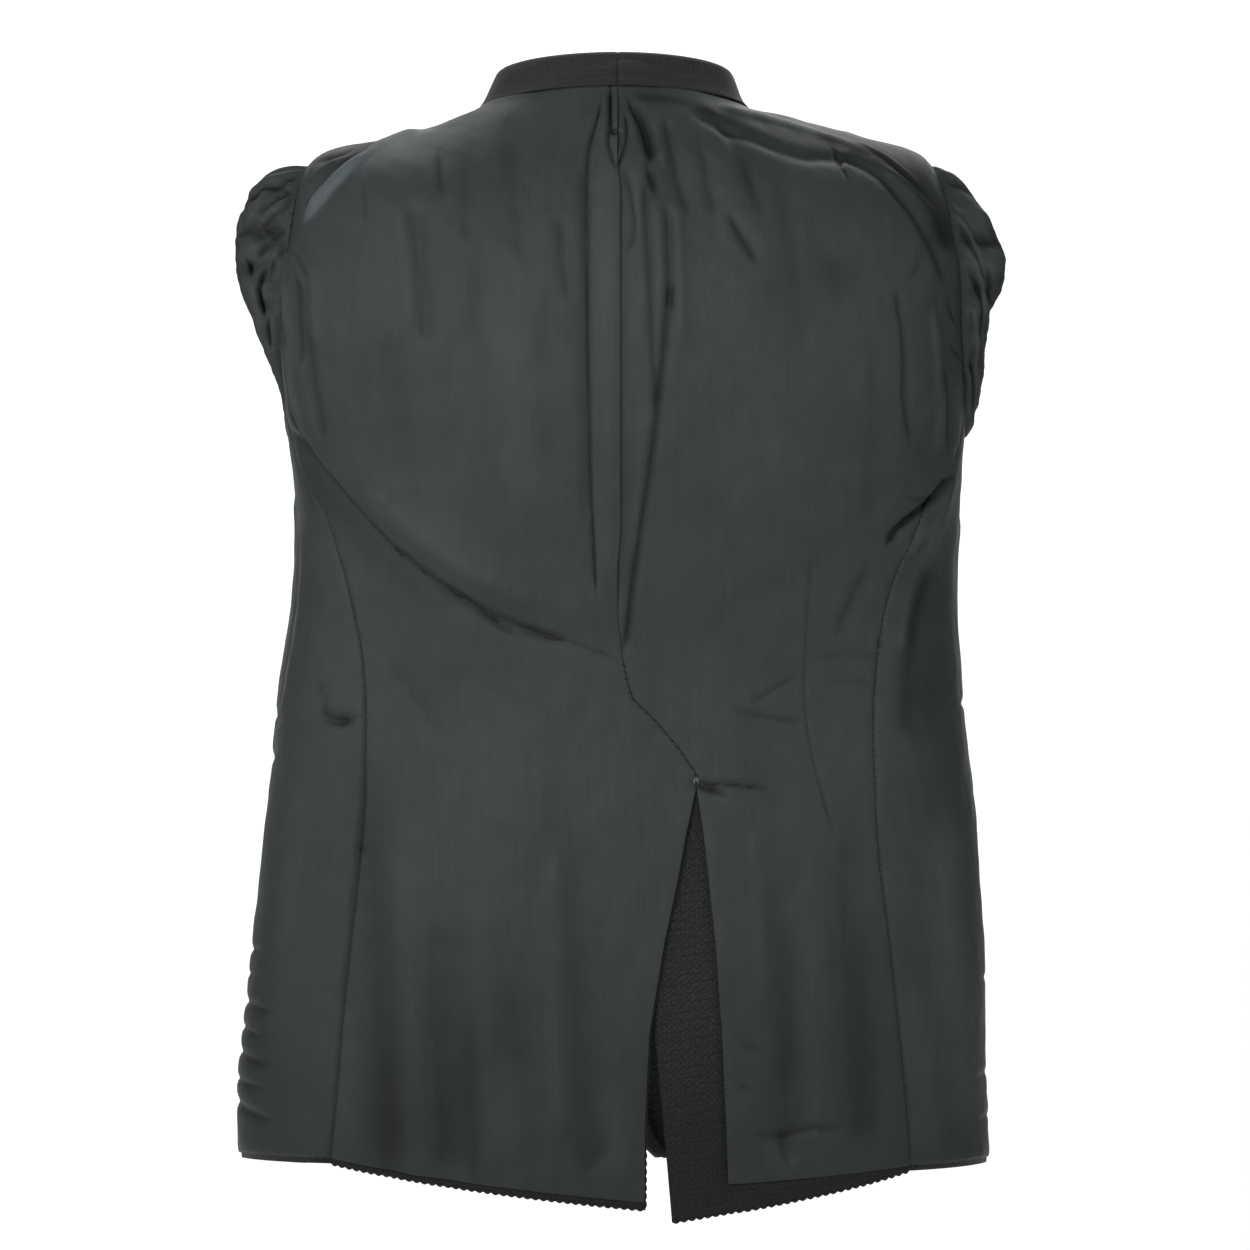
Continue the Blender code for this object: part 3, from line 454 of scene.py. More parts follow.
# Painted light and shade on the lining: painted shadows, shaded areas and highlights, laid out as the
# folds are.
# Here the height is the share by which the cloth is painted lighter (above 0) or darker.
PAINTED_LIGHT_AND_SHADE = (
    # painted shade on the front shoulder behind the left crest, and a painted highlight on the crest
    # itself
    (((126, -8), (156, -20), (192, -44), (220, -70)), 11, -0.56),
    (((-160, -20), (-188, -28), (-210, -42), (-228, -60)), 5, -0.40),
    (((116, -16), (154, -37), (178, -55), (200, -78), (214, -96)), 3.2, 2),
    (((40, 0), (80, -8), (136, -26)), 7, -0.25),
    # shadow under the right crest, and the light edge above it
    (((-40, -10), (-90, -26), (-140, -40), (-170, -52)), 9, -0.40),
    (((-130, -34), (-168, -43), (-192, -59), (-212, -84), (-225, -120)), 6, -0.85, 2),
    (((-80, -16), (-112, -24), (-146, -33)), 2.2, 0.6),
    (((-122, -46), (-148, -53), (-172, -62)), 5, -0.18),
    # painted shade along the neck seam
    (((0, -8), (-36, -11), (-76, -20)), 3.4, -0.5),
    # shadow of the blouse, left
    (((226, -240), (186, -290), (150, -326), (96, -366)), 12, -0.26),
    (((230, -232), (224, -270), (214, -310)), 6, 0.6),
    (((180, -240), (120, -300), (50, -340)), 24, 0.24),
    # painted light and shade beside the pleat
    (((-13, -56), (-13, -150), (-10, -260)), 5, 0.16),
    (((10, -56), (9, -180), (8, -330)), 6, 0.14),
    (((-14, -16), (-24, -56), (-30, -100)), 8, -0.26),
    (((-70, -34), (-84, -56), (-100, -90)), 10, -0.16),
    # soft patches of painted light and shade
    (((-148, -106), (-149, -130), (-148, -158)), 14, -0.24),
    (((-60, -120), (-80, -220), (-100, -330)), 32, 0.12),
    (((84, -110), (74, -220), (66, -300)), 34, 0.22),
    (((80, -200), (74, -250), (66, -310)), 26, 0.17),
    (((-204, -300), (-206, -380), (-204, -460)), 14, -0.42),
    (((-222, -480), (-222, -560), (-232, -640), (-240, -730)), 14, 0.48),
    (((-90, -470), (-104, -520), (-120, -580)), 26, -0.10),
    # upright bands of painted light and shade on the skirt
    (((168, -470), (160, -590), (152, -746)), 13, -0.26),
    (((184, -600), (186, -680), (190, -740)), 12, 0.16),
    (((122, -580), (118, -660), (112, -746)), 10, -0.16),
    (((100, -620), (97, -690), (95, -746)), 7, -0.22),
    (((74, -640), (72, -700), (70, -744)), 12, 0.20),
    (((30, -560), (25, -650), (18, -744)), 11, -0.10),
    (((4, -660), (2, -710), (2, -748)), 9, 0.22),
    (((-96, -700), (-110, -720), (-130, -732)), 12, 0.26),
    (((-112, -560), (-114, -640), (-112, -690)), 9, -0.20),
    (((-158, -560), (-164, -650), (-166, -730)), 11, -0.20),
    (((-196, -600), (-206, -680), (-210, -740)), 10, 0.25),
    (((212, -470), (224, -560), (232, -660)), 9, 0.12),
)

# How folds are drawn: points along a path, its tapered ends and how far it is felt
PATH_STEP = 7.0
PATH_POINTS = 7
FOLD_END = 14.0
FOLD_REACH = 2.6
END_WIDTH = 0.4

# Where the folds of the back, front and sides fade, from 0 to full, and the painted light and shade too
BACK_FADE = (-0.03, 0.01)
FRONT_FADE = (-0.05, -0.01)
SIDE_FADE_ACROSS = (0.16, 0.21)
SIDE_FADE_ALONG = (0.07, 0.10)
PAINTED_LIGHT_FADE = (-0.01, 0.03)
SHOULDER_REACH = 0.06
SHOULDER_RUN = (-0.18, -0.10)

# Unevenness: its draw, stretch across and up, shortest and longest wave, number of
# waves and height, which for the clouds is a share of the tone
WAVES = {
    "lining": (11, 1, 1, 0.050, 0.160, 7, 0.0008),
    "lining_fine": (12, 1, 1, 0.018, 0.040, 7, 0.00022),
    "pucker": (0, 1, 0, 0.007, 0.018, 5, 0.00035),
    "stand_crease": (61, 0.35, 3.2, 0.012, 0.030, 7, 0.0011),
    "stand": (62, 1, 1.6, 0.020, 0.060, 7, 0.0005),
    "head": (71, 1, 1, 0.020, 0.050, 7, 0.0008),
    "head_fine": (73, 1.5, 1, 0.008, 0.020, 7, 0.0004),
    "sleeve": (81, 0.02, 1, 0.030, 0.090, 7, 0.0012),
    "clouds": (91, 1, 0.6, 0.030, 0.130, 9, 0.07),
}

# Painted light and shade on the cloth: painted shade in folds' troughs and painted highlight on their
# ridges, painted shade at the hem, on the sleeve heads and at the foot of the strip, painted light on the
# collar
TROUGH_PAINTED_SHADE = 0.21
RIDGE_PAINTED_HIGHLIGHT = 0.10
FULL_PAINT_WIDTH = 2.2
HEM_PAINTED_SHADE = 0.34
HEM_PAINTED_SHADE_RUN = (0.50, 0.74)
HEAD_PAINTED_SHADE = 0.92
HEAD_TROUGH_PAINTED_SHADE = 1.6 * TROUGH_PAINTED_SHADE
HEAD_RIDGE_PAINTED_HIGHLIGHT = 1.2 * RIDGE_PAINTED_HIGHLIGHT
STAND_PAINTED_LIGHT = 1.60
STRIP_PAINTED_SHADE = 0.54
STRIP_PAINTED_SHADE_RUN = (0.60, 0.74)
TONE_RANGE = (0.12, 2.4)

# Seams of the lining: each one's draw of puckers, and the dip at a seam and at the hem
SEAM_SEEDS = {"side_back": 21, "centre": 31, "side_front": 41, "facing": 51}
SEAM_DIP = 0.0006
SEAM_DIP_RUN = 0.0035
CENTRE_DIP = 0.0004
PUCKER_RUN = 0.009
HEM_DIP = 0.0004
HEM_DIP_RUN = 0.004
ARMHOLE_FADE = 0.14
BORDER_THINNING = 0.28

# How finely each piece is divided: rows up it and columns across it, which crowd
# towards the centre of the back lining, and the steps of its edges
GRID = {
    "lining_back": (350, 130),
    "lining_side": (230, 52),
    "lining_front": (240, 50),
    "shell_back": (60, 220),
    "shell_side": (90, 20),
    "shell_front": (130, 24),
    "facing": (150, 22),
    "sleeve": (90, 60),
    "vent_loops": (300, 4),
}
BACK_CROWDING = 1.15
HEM_STEPS = 8
FRONT_RISE_STEPS = 12
FRONT_STRIP = 18
HOLE_STEPS = 70
HOLE_FOOT_STEPS = 42
HEAD_STEPS = ((0, 1, 8), (1, 4, 34), (4, 8, 22))
FACING_STEPS = {"corner": 10, "shoulder": 12, "nape": 60, "fall": 10, "bend": 10}

# Stand of the collar: where it lies, its creases, the dip at the nape, its borders, and where its painted
# light starts
STAND_BACK = (0.020, 0.045)
STAND_CREASE_REACH = 0.030
NAPE_DIP = 0.0003
NAPE_DIP_RUN = 0.002
STAND_BORDERS = (0.1, 0.2)
STAND_PAINTED_LIGHT_RUN = (-0.03, 0.0)

# Gathers of the sleeve heads: angle and width round the armhole in degrees, first and
# last share of the way out and in, and height in millimetres
HEAD_GATHERS = {
    1: (
        (6, 5, 0.05, 0.42, -1.2),
        (17, 4, 0.03, 0.40, 1.3),
        (27, 4, 0.05, 0.48, -1.6),
        (36, 3, 0.03, 0.44, 1.3),
        (45, 4, 0.04, 0.50, -1.8),
        (54, 3, 0.02, 0.40, 1.2),
        (62, 4, 0.03, 0.46, -1.8),
        (71, 4, 0.04, 0.50, 1.4),
        (81, 4, 0.02, 0.42, -1.6),
        (92, 5, 0.04, 0.46, 1.5),
        (104, 5, 0.03, 0.50, -1.8),
        (120, 6, 0.05, 0.44, 1.5),
        (137, 6, 0.04, 0.50, -1.8),
        (158, 7, 0.05, 0.46, 1.4),
        (182, 8, 0.04, 0.50, -1.6),
        (204, 7, 0.05, 0.44, 1.1),
        (-16, 6, 0.05, 0.44, 0.9),
    ),
    -1: (
        (4, 5, 0.05, 0.44, 1.0),
        (15, 5, 0.04, 0.46, -1.4),
        (27, 4, 0.05, 0.42, 1.2),
        (38, 5, 0.03, 0.50, -1.6),
        (50, 4, 0.05, 0.44, 1.2),
        (61, 5, 0.03, 0.48, -1.7),
        (74, 5, 0.04, 0.44, 1.3),
        (88, 5, 0.03, 0.48, -1.5),
        (104, 6, 0.05, 0.44, 1.4),
        (121, 6, 0.04, 0.50, -1.7),
        (141, 7, 0.05, 0.46, 1.4),
        (163, 8, 0.04, 0.50, -1.5),
        (188, 8, 0.05, 0.44, 1.2),
        (-18, 7, 0.05, 0.44, -0.9),
    ),
}
HEAD_FOLDS = {
    1: (
        # folds fanning out and up from the lower end of the seam
        (((211, -54), (225, -56), (237, -63), (250, -65)), 1.5, -2.6, 1.4),
        (((212, -64), (226, -62), (242, -58)), 1.2, 1.6, 1.2),
        (((212, -60), (227, -67), (243, -77), (256, -84)), 1.6, -3, 1.3),
        (((213, -72), (228, -74), (240, -82), (252, -94)), 1.7, 3, 1.3),
        (((214, -78), (226, -80), (236, -86)), 1.2, -2.2, 1.2),
        (((213, -84), (221, -91), (229, -95), (244, -94), (254, -93)), 1.6, -5, 1.2),
        (((224, -98), (237, -101), (244, -108), (252, -118)), 1.5, -3.4, 1.2),
        (((228, -98), (234, -110), (242, -121)), 2.4, 3.2, 1.2),
        (((259, -112), (255, -118), (253, -129)), 1.8, -4.6, 1.2),
        (((240, -104), (248, -98), (258, -100)), 1.2, -2.4, 1.2),
        (((246, -110), (252, -106), (258, -106)), 1.2, 1.8, 1.2),
        (((237, -118), (243, -124), (247, -137), (245, -147), (242, -158)), 1.6, -4, 1.2),
        (((233, -108), (237, -118), (239, -134)), 1.1, -2.4, 1.2),
        (((252, -130), (249, -152), (243, -176)), 3, 1.8, 1.2),
        (((240, -150), (240, -166), (238, -182)), 1.3, -2, 1.2),
        (((246, -62), (256, -76), (262, -96)), 1.6, -1.4, 1.2),
    ),
    -1: (
        # long folds down the outside of the seam
        (((-224, -74), (-240, -92), (-252, -118)), 1.3, 2.2),
        (((-228, -84), (-244, -104), (-254, -134)), 1.4, -2.6),
        (((-233, -98), (-248, -122), (-254, -152)), 1.2, 1.8),
        (((-238, -116), (-250, -142), (-250, -176)), 1.6, -3),
        (((-243, -144), (-247, -170), (-246, -196)), 2, 2.2),
        (((-250, -110), (-257, -130), (-257, -156)), 2.2, -2.2),
        (((-241, -180), (-246, -206), (-245, -232)), 1.6, -2.6),
        (((-245, -192), (-247, -214), (-242, -238)), 1.8, 1.6),
        (((-214, -62), (-228, -74), (-240, -90)), 1.3, -2),
    ),
}

# Where creases of the sleeve heads and sleeves start and end, in shares of the way and in
# rings, how gathers widen, rise and fall, and how much calmer the cuff is
HEAD_BACK = (-0.02, 0.02)
HEAD_CREASE_START = (0.02, 0.10)
HEAD_CREASE_END = (0.75, 0.95)
GATHER_START = 0.45
GATHER_WIDENING = 0.5
GATHER_RISE = 0.12
GATHER_FALL = 0.2
SLEEVE_CREASE_START = (1.5, 3.0)
SLEEVE_CREASE_END = (8, 9)
CUFF_CALM = 0.6
SLEEVE_RADIUS = 0.045

# Camera, backdrop and lights: name, place, aim, power and size
CAMERA = (-0.0049, 2.6, -0.3675)
FRAME_WIDTH = 0.875
SENSOR_WIDTH = 36
FLOOR_HEIGHT = -1.35
FLOOR_NEAR = 4.5
BACKDROP_PLACE = -3.2
BACKDROP_BEND = 1.2
BACKDROP_HEIGHT = 5.0
BACKDROP_HALF = 2.6
BACKDROP_WHITE = (0.94, 0.94, 0.94)
WORLD_STRENGTH = 0.10
LIGHTS = (
    ("key", (0.9, 2.5, 1.0), (0, 0, -0.22), 46, 2.0),
    ("fill", (-1.9, 1.9, 0.3), (0, 0, -0.40), 16, 1.8),
    ("side", (2.3, 0.9, 0.2), (0, 0, -0.35), 14, 1.6),
    ("front", (-0.6, -1.9, 0.6), (0, 0, -0.35), 7, 1.4),
    ("backdrop", (0, -1.2, 1.6), (0, -3.2, -0.6), 80, 2.2),
)

# Stitches, and the loops along the shell's edges
STITCH = 0.0030
STITCH_STEP = 0.0046
STITCH_THICK = 0.00060
STITCH_TURN = 0.30
THREAD_RINGS = 5
HEM_CLEARANCE = 0.004
SLANT_STITCHES = (-0.394, -0.473)
SEAM_STITCHES_TOP = -0.270
HOLE_STITCHES = (-30, 72)
HOLE_STITCHES_OUT = (0.3, 0.95)
HEM_LOOP_DEPTH = 0.0014
HEM_LOOP_WIDTH = 0.0054
HEM_LOOP_ROWS = 0.35
VENT_LOOP_ENDS = (0.001, 0.006)
VENT_LOOP_LOW = 0.35
# painted shade on the loops down the vent's edge
VENT_LOOP_PAINTED_SHADE = 0.8

# Threads of the tack at the vent top: distance out, top and foot
TACK = ((-0.0534, -0.4706, -0.4746), (-0.0522, -0.4698, -0.4738), (-0.0509, -0.4710, -0.4742))
TACK_SLANT = 0.0006

# Covered button: its outline is a share of the radius and of the thickness, from the top
BUTTON_LEVEL = -0.440
BUTTON_SET_IN = 0.030
BUTTON_RADIUS = 0.010
BUTTON_THICK = 0.0035
BUTTON_SHANK = 0.0022
BUTTON_GAP = 0.0003
BUTTON_OUTLINE = (
    (0.04, 1.00), (0.35, 0.99), (0.62, 0.95), (0.80, 0.87), (0.92, 0.74), (0.98, 0.58), (1.00, 0.42),
    (0.97, 0.24), (0.90, 0.10), (0.78, 0.02), (0.60, 0.00), (0.36, 0.00), (0.33, -0.10), (0.33, -0.60),
    (0.04, -0.62),
)

# Colours. A jacquard's are its ground's and its figure's, with the repeat in mm.
LINING_COLOUR = (0.036, 0.043, 0.044)
SHELL_JACQUARD = ((0.0090, 0.0090, 0.0098), (0.0310, 0.0315, 0.0330), 6.2)
COLLAR_JACQUARD = ((0.0118, 0.0119, 0.0124), (0.0215, 0.0220, 0.0230), 4.6)
THREAD_COLOUR = (0.007, 0.008, 0.010)
TACK_COLOUR = (0.34, 0.34, 0.33)
BUTTON_COLOUR = (0.012, 0.012, 0.013)

# Noises in the satin: how far each is squeezed up the cloth, its scale, detail and
# roughness, the range it takes, and the share by which it changes the tone
SATIN_NOISES = {
    "slow": (1, 0.035, 3.0, 0.55, 0.30, 0.70, 0.06),
    "fine": (1, 0.900, 2.0, 0.50, 0.25, 0.75, 0.10),
    "streaks": (0.03, 0.450, 3.0, 0.50, 0.25, 0.75, 0.07),
    "crumple": (0.4, 0.100, 5.0, 0.60, 0.30, 0.70, 0.06),
}
SHINE_CHANGE = 0.04
WEFT_WAVE = 9.0
WARP_WAVE = 7.0

# Curls of the jacquard, in shares of its repeat, and how far the repeat sways in mm
CURLS = (((0.36, 0.42), 0.21, 0.6), ((0.70, 0.66), 0.15, 3.6), ((0.74, 0.22), 0.10, 1.9))
SWAY_ACROSS = 5.0
SWAY_UP = 4.0
CURL_GROWTH = 0.14
CURL_EDGE = (0.04, 0.13)
CURL_OPENING = (0.45, 0.75)
FIGURE_FADE = 1.6
WEAVE_WAVE = 8.0


def column(rows, names, name):
    return np.array([row[names.index(name)] for row in rows], float)


def smooth(keys, values, at):
    """A smooth curve through the table's values, flat beyond its ends."""
    at = np.clip(np.asarray(at, float), keys[0], keys[-1])
    secants = np.diff(values) / np.diff(keys)
    slopes = np.concatenate([secants[:1], (secants[1:] + secants[:-1]) / 2, secants[-1:]])
    i = np.clip(np.searchsorted(keys, at, side="right") - 1, 0, len(keys) - 2)
    span = keys[i + 1] - keys[i]
    t = (at - keys[i]) / span
    low = (1 + 2 * t) * (1 - t) ** 2 * values[i] + t * (1 - t) ** 2 * span * slopes[i]
    high = t * t * (3 - 2 * t) * values[i + 1] + t * t * (t - 1) * span * slopes[i + 1]
    return low + high


def ramp(value, start, end):
    """0 before start and 1 after end, with soft ends."""
    t = np.clip((np.asarray(value, float) - start) / (end - start), 0, 1)
    return t * t * (3 - 2 * t)


def looked_up(rows, names, name, at, straight=False):
    """A column's values where the first column is at, on a smooth or straight line."""
    keys, values = column(rows, names, names[0]), column(rows, names, name)
    return np.interp(at, keys, values) if straight else smooth(keys, values, at)


def loop_value(name, level):
    return looked_up(LOOPS, LOOP_COLUMNS, name, level)


def side_word(side):
    return "left" if side > 0 else "right"


def side_letter(side):
    return "L" if side > 0 else "R"


def torso(turn, level, side):
    """Points of the torso surface, one for each pair of turn and level."""
    angle = np.radians(np.asarray(turn, float))
    level = np.asarray(level, float)
    across, along = np.cos(angle), np.sin(angle)
    square = loop_value("square", level)
    reach = (np.abs(across) ** square + np.abs(along) ** square) ** (-1 / square)
    half = loop_value(side_word(side), level)
    depth = np.where(along > 0, loop_value("back", level), loop_value("chest", level))
    side_z = loop_value("side_z", level)
    centre_z = np.where(along > 0, level, loop_value("chest_z", level))
    x = side * half * reach * across
    y = depth * reach * along
    z = side_z + (centre_z - side_z) * along**2
    return np.stack([x, y, z], axis=-1)


def on_torso(grid, side):
    return torso(grid[..., 0], grid[..., 1], side)


def outward(turn, level, side):
    """Unit normals of the torso surface, pointing away from the body."""
    step_turn, step_level = 0.5, 0.002
    level = np.clip(level, LOOPS[0][0] + step_level, STAND_LEVEL - step_level)
    round_body = torso(turn + step_turn, level, side) - torso(turn - step_turn, level, side)
    up_body = torso(turn, level + step_level, side) - torso(turn, level - step_level, side)
    normal = np.cross(round_body, up_body) * side
    return normal / np.linalg.norm(normal, axis=-1, keepdims=True)


def turn_at(x, level, side, front=False):
    """The turn at which a loop is x out from the centre plane, towards its own side."""
    level = np.asarray(level, float)
    square = loop_value("square", level)
    half = loop_value(side_word(side), level)
    share = np.clip(np.abs(x) / half, 0, 1)
    turn = np.degrees(np.arctan2((1 - share**square) ** (1 / square), share * np.sign(x)))
    return -turn if front else turn


def armhole(angle):
    """Turn and level on the armhole: angle 90 is its top and 0 its back."""
    angle = np.radians(np.asarray(angle, float))
    wide = np.where(np.cos(angle) > 0, ARMHOLE_BACK_TURN, ARMHOLE_FRONT_TURN)
    return np.stack([wide * np.cos(angle), ARMHOLE_LEVEL + ARMHOLE_DROP * np.sin(angle)], axis=-1)


def armhole_distance(turn, level):
    """0 on the armhole and 1 at twice its size, for what fades near it."""
    wide = np.where(np.asarray(turn) > 0, ARMHOLE_BACK_TURN, ARMHOLE_FRONT_TURN)
    reach = np.hypot(turn / wide, (level - ARMHOLE_LEVEL) / ARMHOLE_DROP)
    return np.maximum(reach - 1, 0)


def pleat_share(level, top, top_full, foot_full, foot):
    return ramp(-level, -top, -top_full) * (1 - ramp(-level, -foot_full, -foot))


def centre_edge(level, side, lining):
    """Distance of a back panel's centre edge from the centre plane."""
    name = "right_lining" if lining and side < 0 else side_word(side)
    edge = looked_up(CENTRE, CENTRE_COLUMNS, name, level, True)
    if lining:
        lap = PLEAT_LEFT_LAP if side > 0 else PLEAT_RIGHT_LAP
        edge = edge - lap * pleat_share(
            level, PLEAT_TOP_FULL, PLEAT_TOP_FULL - PLEAT_LAP_RUN, PLEAT_FOOT_FULL, PLEAT_FOOT
        )
    return edge


def vent_sink(points, level, side):
    """How far the right back lies in under the left one at the vent."""
    if side > 0:
        return 0
    border = looked_up(CENTRE, CENTRE_COLUMNS, "right_lining", level, True)
    below = 1 - ramp(level, VENT_TOP - VENT_SINK_RUN, VENT_TOP)
    return VENT_SINK * below * (1 - ramp(-points[..., 0], border, border + VENT_STEP))


def lining_lift(points, turn, level, side):
    """How far the lining stands off the shell: the pleat's roll and the drape."""
    x, z = points[..., 0], points[..., 2]
    share = ramp(x, -DRAPE_MIDDLE, DRAPE_MIDDLE)
    full = DRAPE_RIGHT + (DRAPE_LEFT - DRAPE_RIGHT) * share
    above = z - (DRAPE_WAIST + DRAPE_CURVE * x**2)
    drape = full * ramp(above, 0, DRAPE_STEP) * np.exp(-np.maximum(above, 0) / DRAPE_FADE)
    drape *= ramp(turn, 0, DRAPE_SIDE_TURN)
    drape *= ramp(armhole_distance(turn, level), 0, DRAPE_ARMHOLE)
    drape *= 1 - ramp(level, *DRAPE_NECK)
    if side > 0:
        roll = 1 - ramp(x, 0, PLEAT_ROLL)
        drape = drape + PLEAT_LIFT * roll * pleat_share(
            level, NECK_LEVEL, PLEAT_TOP, PLEAT_FOOT, PLEAT_FOOT - PLEAT_LAP_RUN
        )
    return drape


def seam_turn(level, side):
    """Turn of the side-back seam, run on smoothly into the armhole."""
    turn = turn_at(looked_up(BACK_SEAM, BACK_SEAM_COLUMNS, side_word(side), level), level, side)
    top_turn, top_level = armhole(BACK_SEAM_ANGLE)
    return turn + (top_turn - turn) * ramp(level, BACK_SEAM_CURVE, top_level)


def front_seam_turn(level):
    """Turn of the side-front seam, run on smoothly into the armhole."""
    top_turn, top_level = armhole(FRONT_SEAM_ANGLE)
    share = ramp(level, FRONT_SEAM_CURVE, top_level)
    return FRONT_SEAM_TURN + (top_turn - FRONT_SEAM_TURN) * share


def edge_turn(level, side):
    """Turn of the front edge and, above the button, of the roll line."""
    low = turn_at(looked_up(EDGE, EDGE_COLUMNS, "edge", level), level, side, True)
    high = looked_up(ROLL_TOP, ROLL_TOP_COLUMNS, "turn", level)
    return low + (high - low) * ramp(level, EDGE_TOP - ROLL_RUN, EDGE_TOP)


def facing_turn(level, side):
    """Turn of the line where the facing meets the front lining."""
    turn = turn_at(looked_up(EDGE, EDGE_COLUMNS, "facing", level), level, side, True)
    return turn + (FACING_TOP_TURN - turn) * ramp(level, FACING_CURVE, EDGE_TOP)


def pairs(turns, levels):
    return np.stack(np.broadcast_arrays(np.asarray(turns, float), np.asarray(levels, float)), axis=-1)


def row_levels(rows, hem, first_hem, foot, top, top_row):
    """Levels of rows, which needn't be whole: the hem, the foot, the tip and the top."""
    second = hem + (foot - hem) / FOOT_ROW
    return np.interp(
        rows, (0, 1, FOOT_ROW, TIP_ROW, top_row), (first_hem, second, foot, TIP_LEVEL, top)
    )


def hole_angle(rows, seam_angle, top_angle):
    """Armhole angle at rows between the armhole's foot and its last whole row but one."""
    return seam_angle + (top_angle - seam_angle) * (rows - FOOT_ROW) / (TIP_ROW - FOOT_ROW)


def outer_edge(rows, seam, seam_angle, top_angle, hem, first_hem, top, top_row):
    """A front or back panel's outer edge: side seam, armhole and shoulder seam."""
    foot = armhole(seam_angle)[1]
    level = row_levels(rows, hem, first_hem, foot, top, top_row)
    low = pairs(seam(level), level)
    last = TIP_ROW - 1
    hole = armhole(hole_angle(np.clip(rows, FOOT_ROW, last), seam_angle, top_angle))
    to_tip = np.clip(rows - last, 0, 1)[:, None]
    hole = hole * (1 - to_tip) + np.array([SHOULDER_TURN, TIP_LEVEL]) * to_tip
    high = pairs(SHOULDER_TURN, level)
    return np.where((rows < FOOT_ROW)[:, None], low, np.where((rows < TIP_ROW)[:, None], hole, high))


def patch(first, last, shares, side, gaps=(SEAM_GAP, SEAM_GAP)):
    """Turns and levels on straight rows between two edges, clear of each seam."""
    width = np.linalg.norm(on_torso(first, side) - on_torso(last, side), axis=1)[:, None]
    start, end = gaps[0] / 2 / width, 1 - gaps[1] / 2 / width
    along = (start + (end - start) * np.asarray(shares))[:, :, None]
    return first[:, None, :] * (1 - along) + last[:, None, :] * along


def raised(grid, side, height):
    """Points of a patch, moved out from the torso surface by height."""
    lift = np.broadcast_to(height, grid.shape[:-1])[..., None]
    return on_torso(grid, side) + outward(grid[..., 0], grid[..., 1], side) * lift


def smooth_path(path):
    """Points along a smooth curve through a path, and how far along it each one is."""
    points = np.array(path, float)
    keys = np.concatenate([[0], np.cumsum(np.hypot(*np.diff(points, axis=0).T))])
    at = np.linspace(0, keys[-1], max(PATH_POINTS, int(keys[-1] / PATH_STEP)))
    return np.stack([smooth(keys, points[:, axis], at) for axis in (0, 1)], axis=-1), at


def folded(table, across, up, as_painted_light=False):
    """Sum of a table's folds in metres at points given in metres, or of their painted light: painted shade
    in troughs and painted highlight on ridges.
    """
    across, up = across / MM, up / MM
    total = np.zeros_like(across)
    for path, width, height, *rest in table:
        lean = rest[0] if rest else 1
        line, run = smooth_path(path)
        low, high = line.min(axis=0), line.max(axis=0)
        reach = FOLD_REACH * width * max(lean, 1)
        near = (across > low[0] - reach) & (across < high[0] + reach)
        near &= (up > low[1] - reach) & (up < high[1] + reach)
        if not near.any():
            continue
        x, z = across[near], up[near]
        nearest = np.full(x.shape, np.inf)
        beside, along = np.zeros_like(x), np.zeros_like(x)
        for start, end, run_start, run_end in zip(line[:-1], line[1:], run[:-1], run[1:]):
            step_x, step_z = end - start
            share = ((x - start[0]) * step_x + (z - start[1]) * step_z) / (step_x**2 + step_z**2)
            share = np.clip(share, 0, 1)
            off_x, off_z = x - start[0] - share * step_x, z - start[1] - share * step_z
            far = np.hypot(off_x, off_z)
            closer = far < nearest
            nearest = np.where(closer, far, nearest)
            beside = np.where(closer, off_x * step_z - off_z * step_x, beside)
            along = np.where(closer, run_start + share * (run_end - run_start), along)
        ends = min(0.5 * run[-1], max(FOLD_END, 3 * width))
        taper = ramp(along, 0, ends) * (1 - ramp(along, run[-1] - ends, run[-1]))
        wide = np.where(beside > 0, width * lean, width) * (END_WIDTH + (1 - END_WIDTH) * taper)
        change = height * taper * np.exp(-((nearest / wide) ** 2))
        if as_painted_light:
            # painted shade in a trough, painted highlight on a ridge, fuller for narrow folds
            change *= (TROUGH_PAINTED_SHADE if height < 0 else RIDGE_PAINTED_HIGHLIGHT) * min(1, FULL_PAINT_WIDTH / width)
        total[near] += change
    return total if as_painted_light else total * MM


def waves(name, across, up, own=0):
    """The unevenness of that name. own sets a seam's or a side's draw apart."""
    seed, stretch_across, stretch_up, short, long, count, height = WAVES[name]
    across, up = across * stretch_across, up * stretch_up
    draw = np.random.default_rng(seed + own)
    total = np.zeros_like(across)
    for _ in range(count):
        angle = draw.uniform(0, math.pi)
        wave = 2 * math.pi / draw.uniform(short, long)
        total += np.sin((across * math.cos(angle) + up * math.sin(angle)) * wave + draw.uniform(0, 6.3))
    return height * (total / math.sqrt(count) / 1.5)


def arc(points, axis):
    """Distances along a grid's rows or columns, in metres."""
    run = np.linalg.norm(np.diff(points, axis=axis), axis=-1)
    start = np.zeros_like(np.take(run, [0], axis=axis))
    return np.concatenate([start, np.cumsum(run, axis=axis)], axis=axis)


def near_edge(distance, depth, reach):
    return -depth * np.exp(-((distance / reach) ** 2))


def normals(points, flip, closed):
    if closed:
        around = np.roll(points, -1, axis=1) - np.roll(points, 1, axis=1)
    else:
        around = np.gradient(points, axis=1)
    normal = np.cross(around, np.gradient(points, axis=0)) * (-1 if flip else 1)
    return normal / np.maximum(np.linalg.norm(normal, axis=-1, keepdims=True), 1e-12)


def strip_faces(one, two, closed):
    """Quads between two equal runs of point numbers."""
    ends = (np.roll(one, -1), np.roll(two, -1)) if closed else (one[1:], two[1:])
    starts = (one, two) if closed else (one[:-1], two[:-1])
    return np.stack([starts[0], ends[0], ends[1], starts[1]], axis=-1)


def grid_faces(index, closed):
    return [strip_faces(one, two, closed) for one, two in zip(index[:-1], index[1:])]


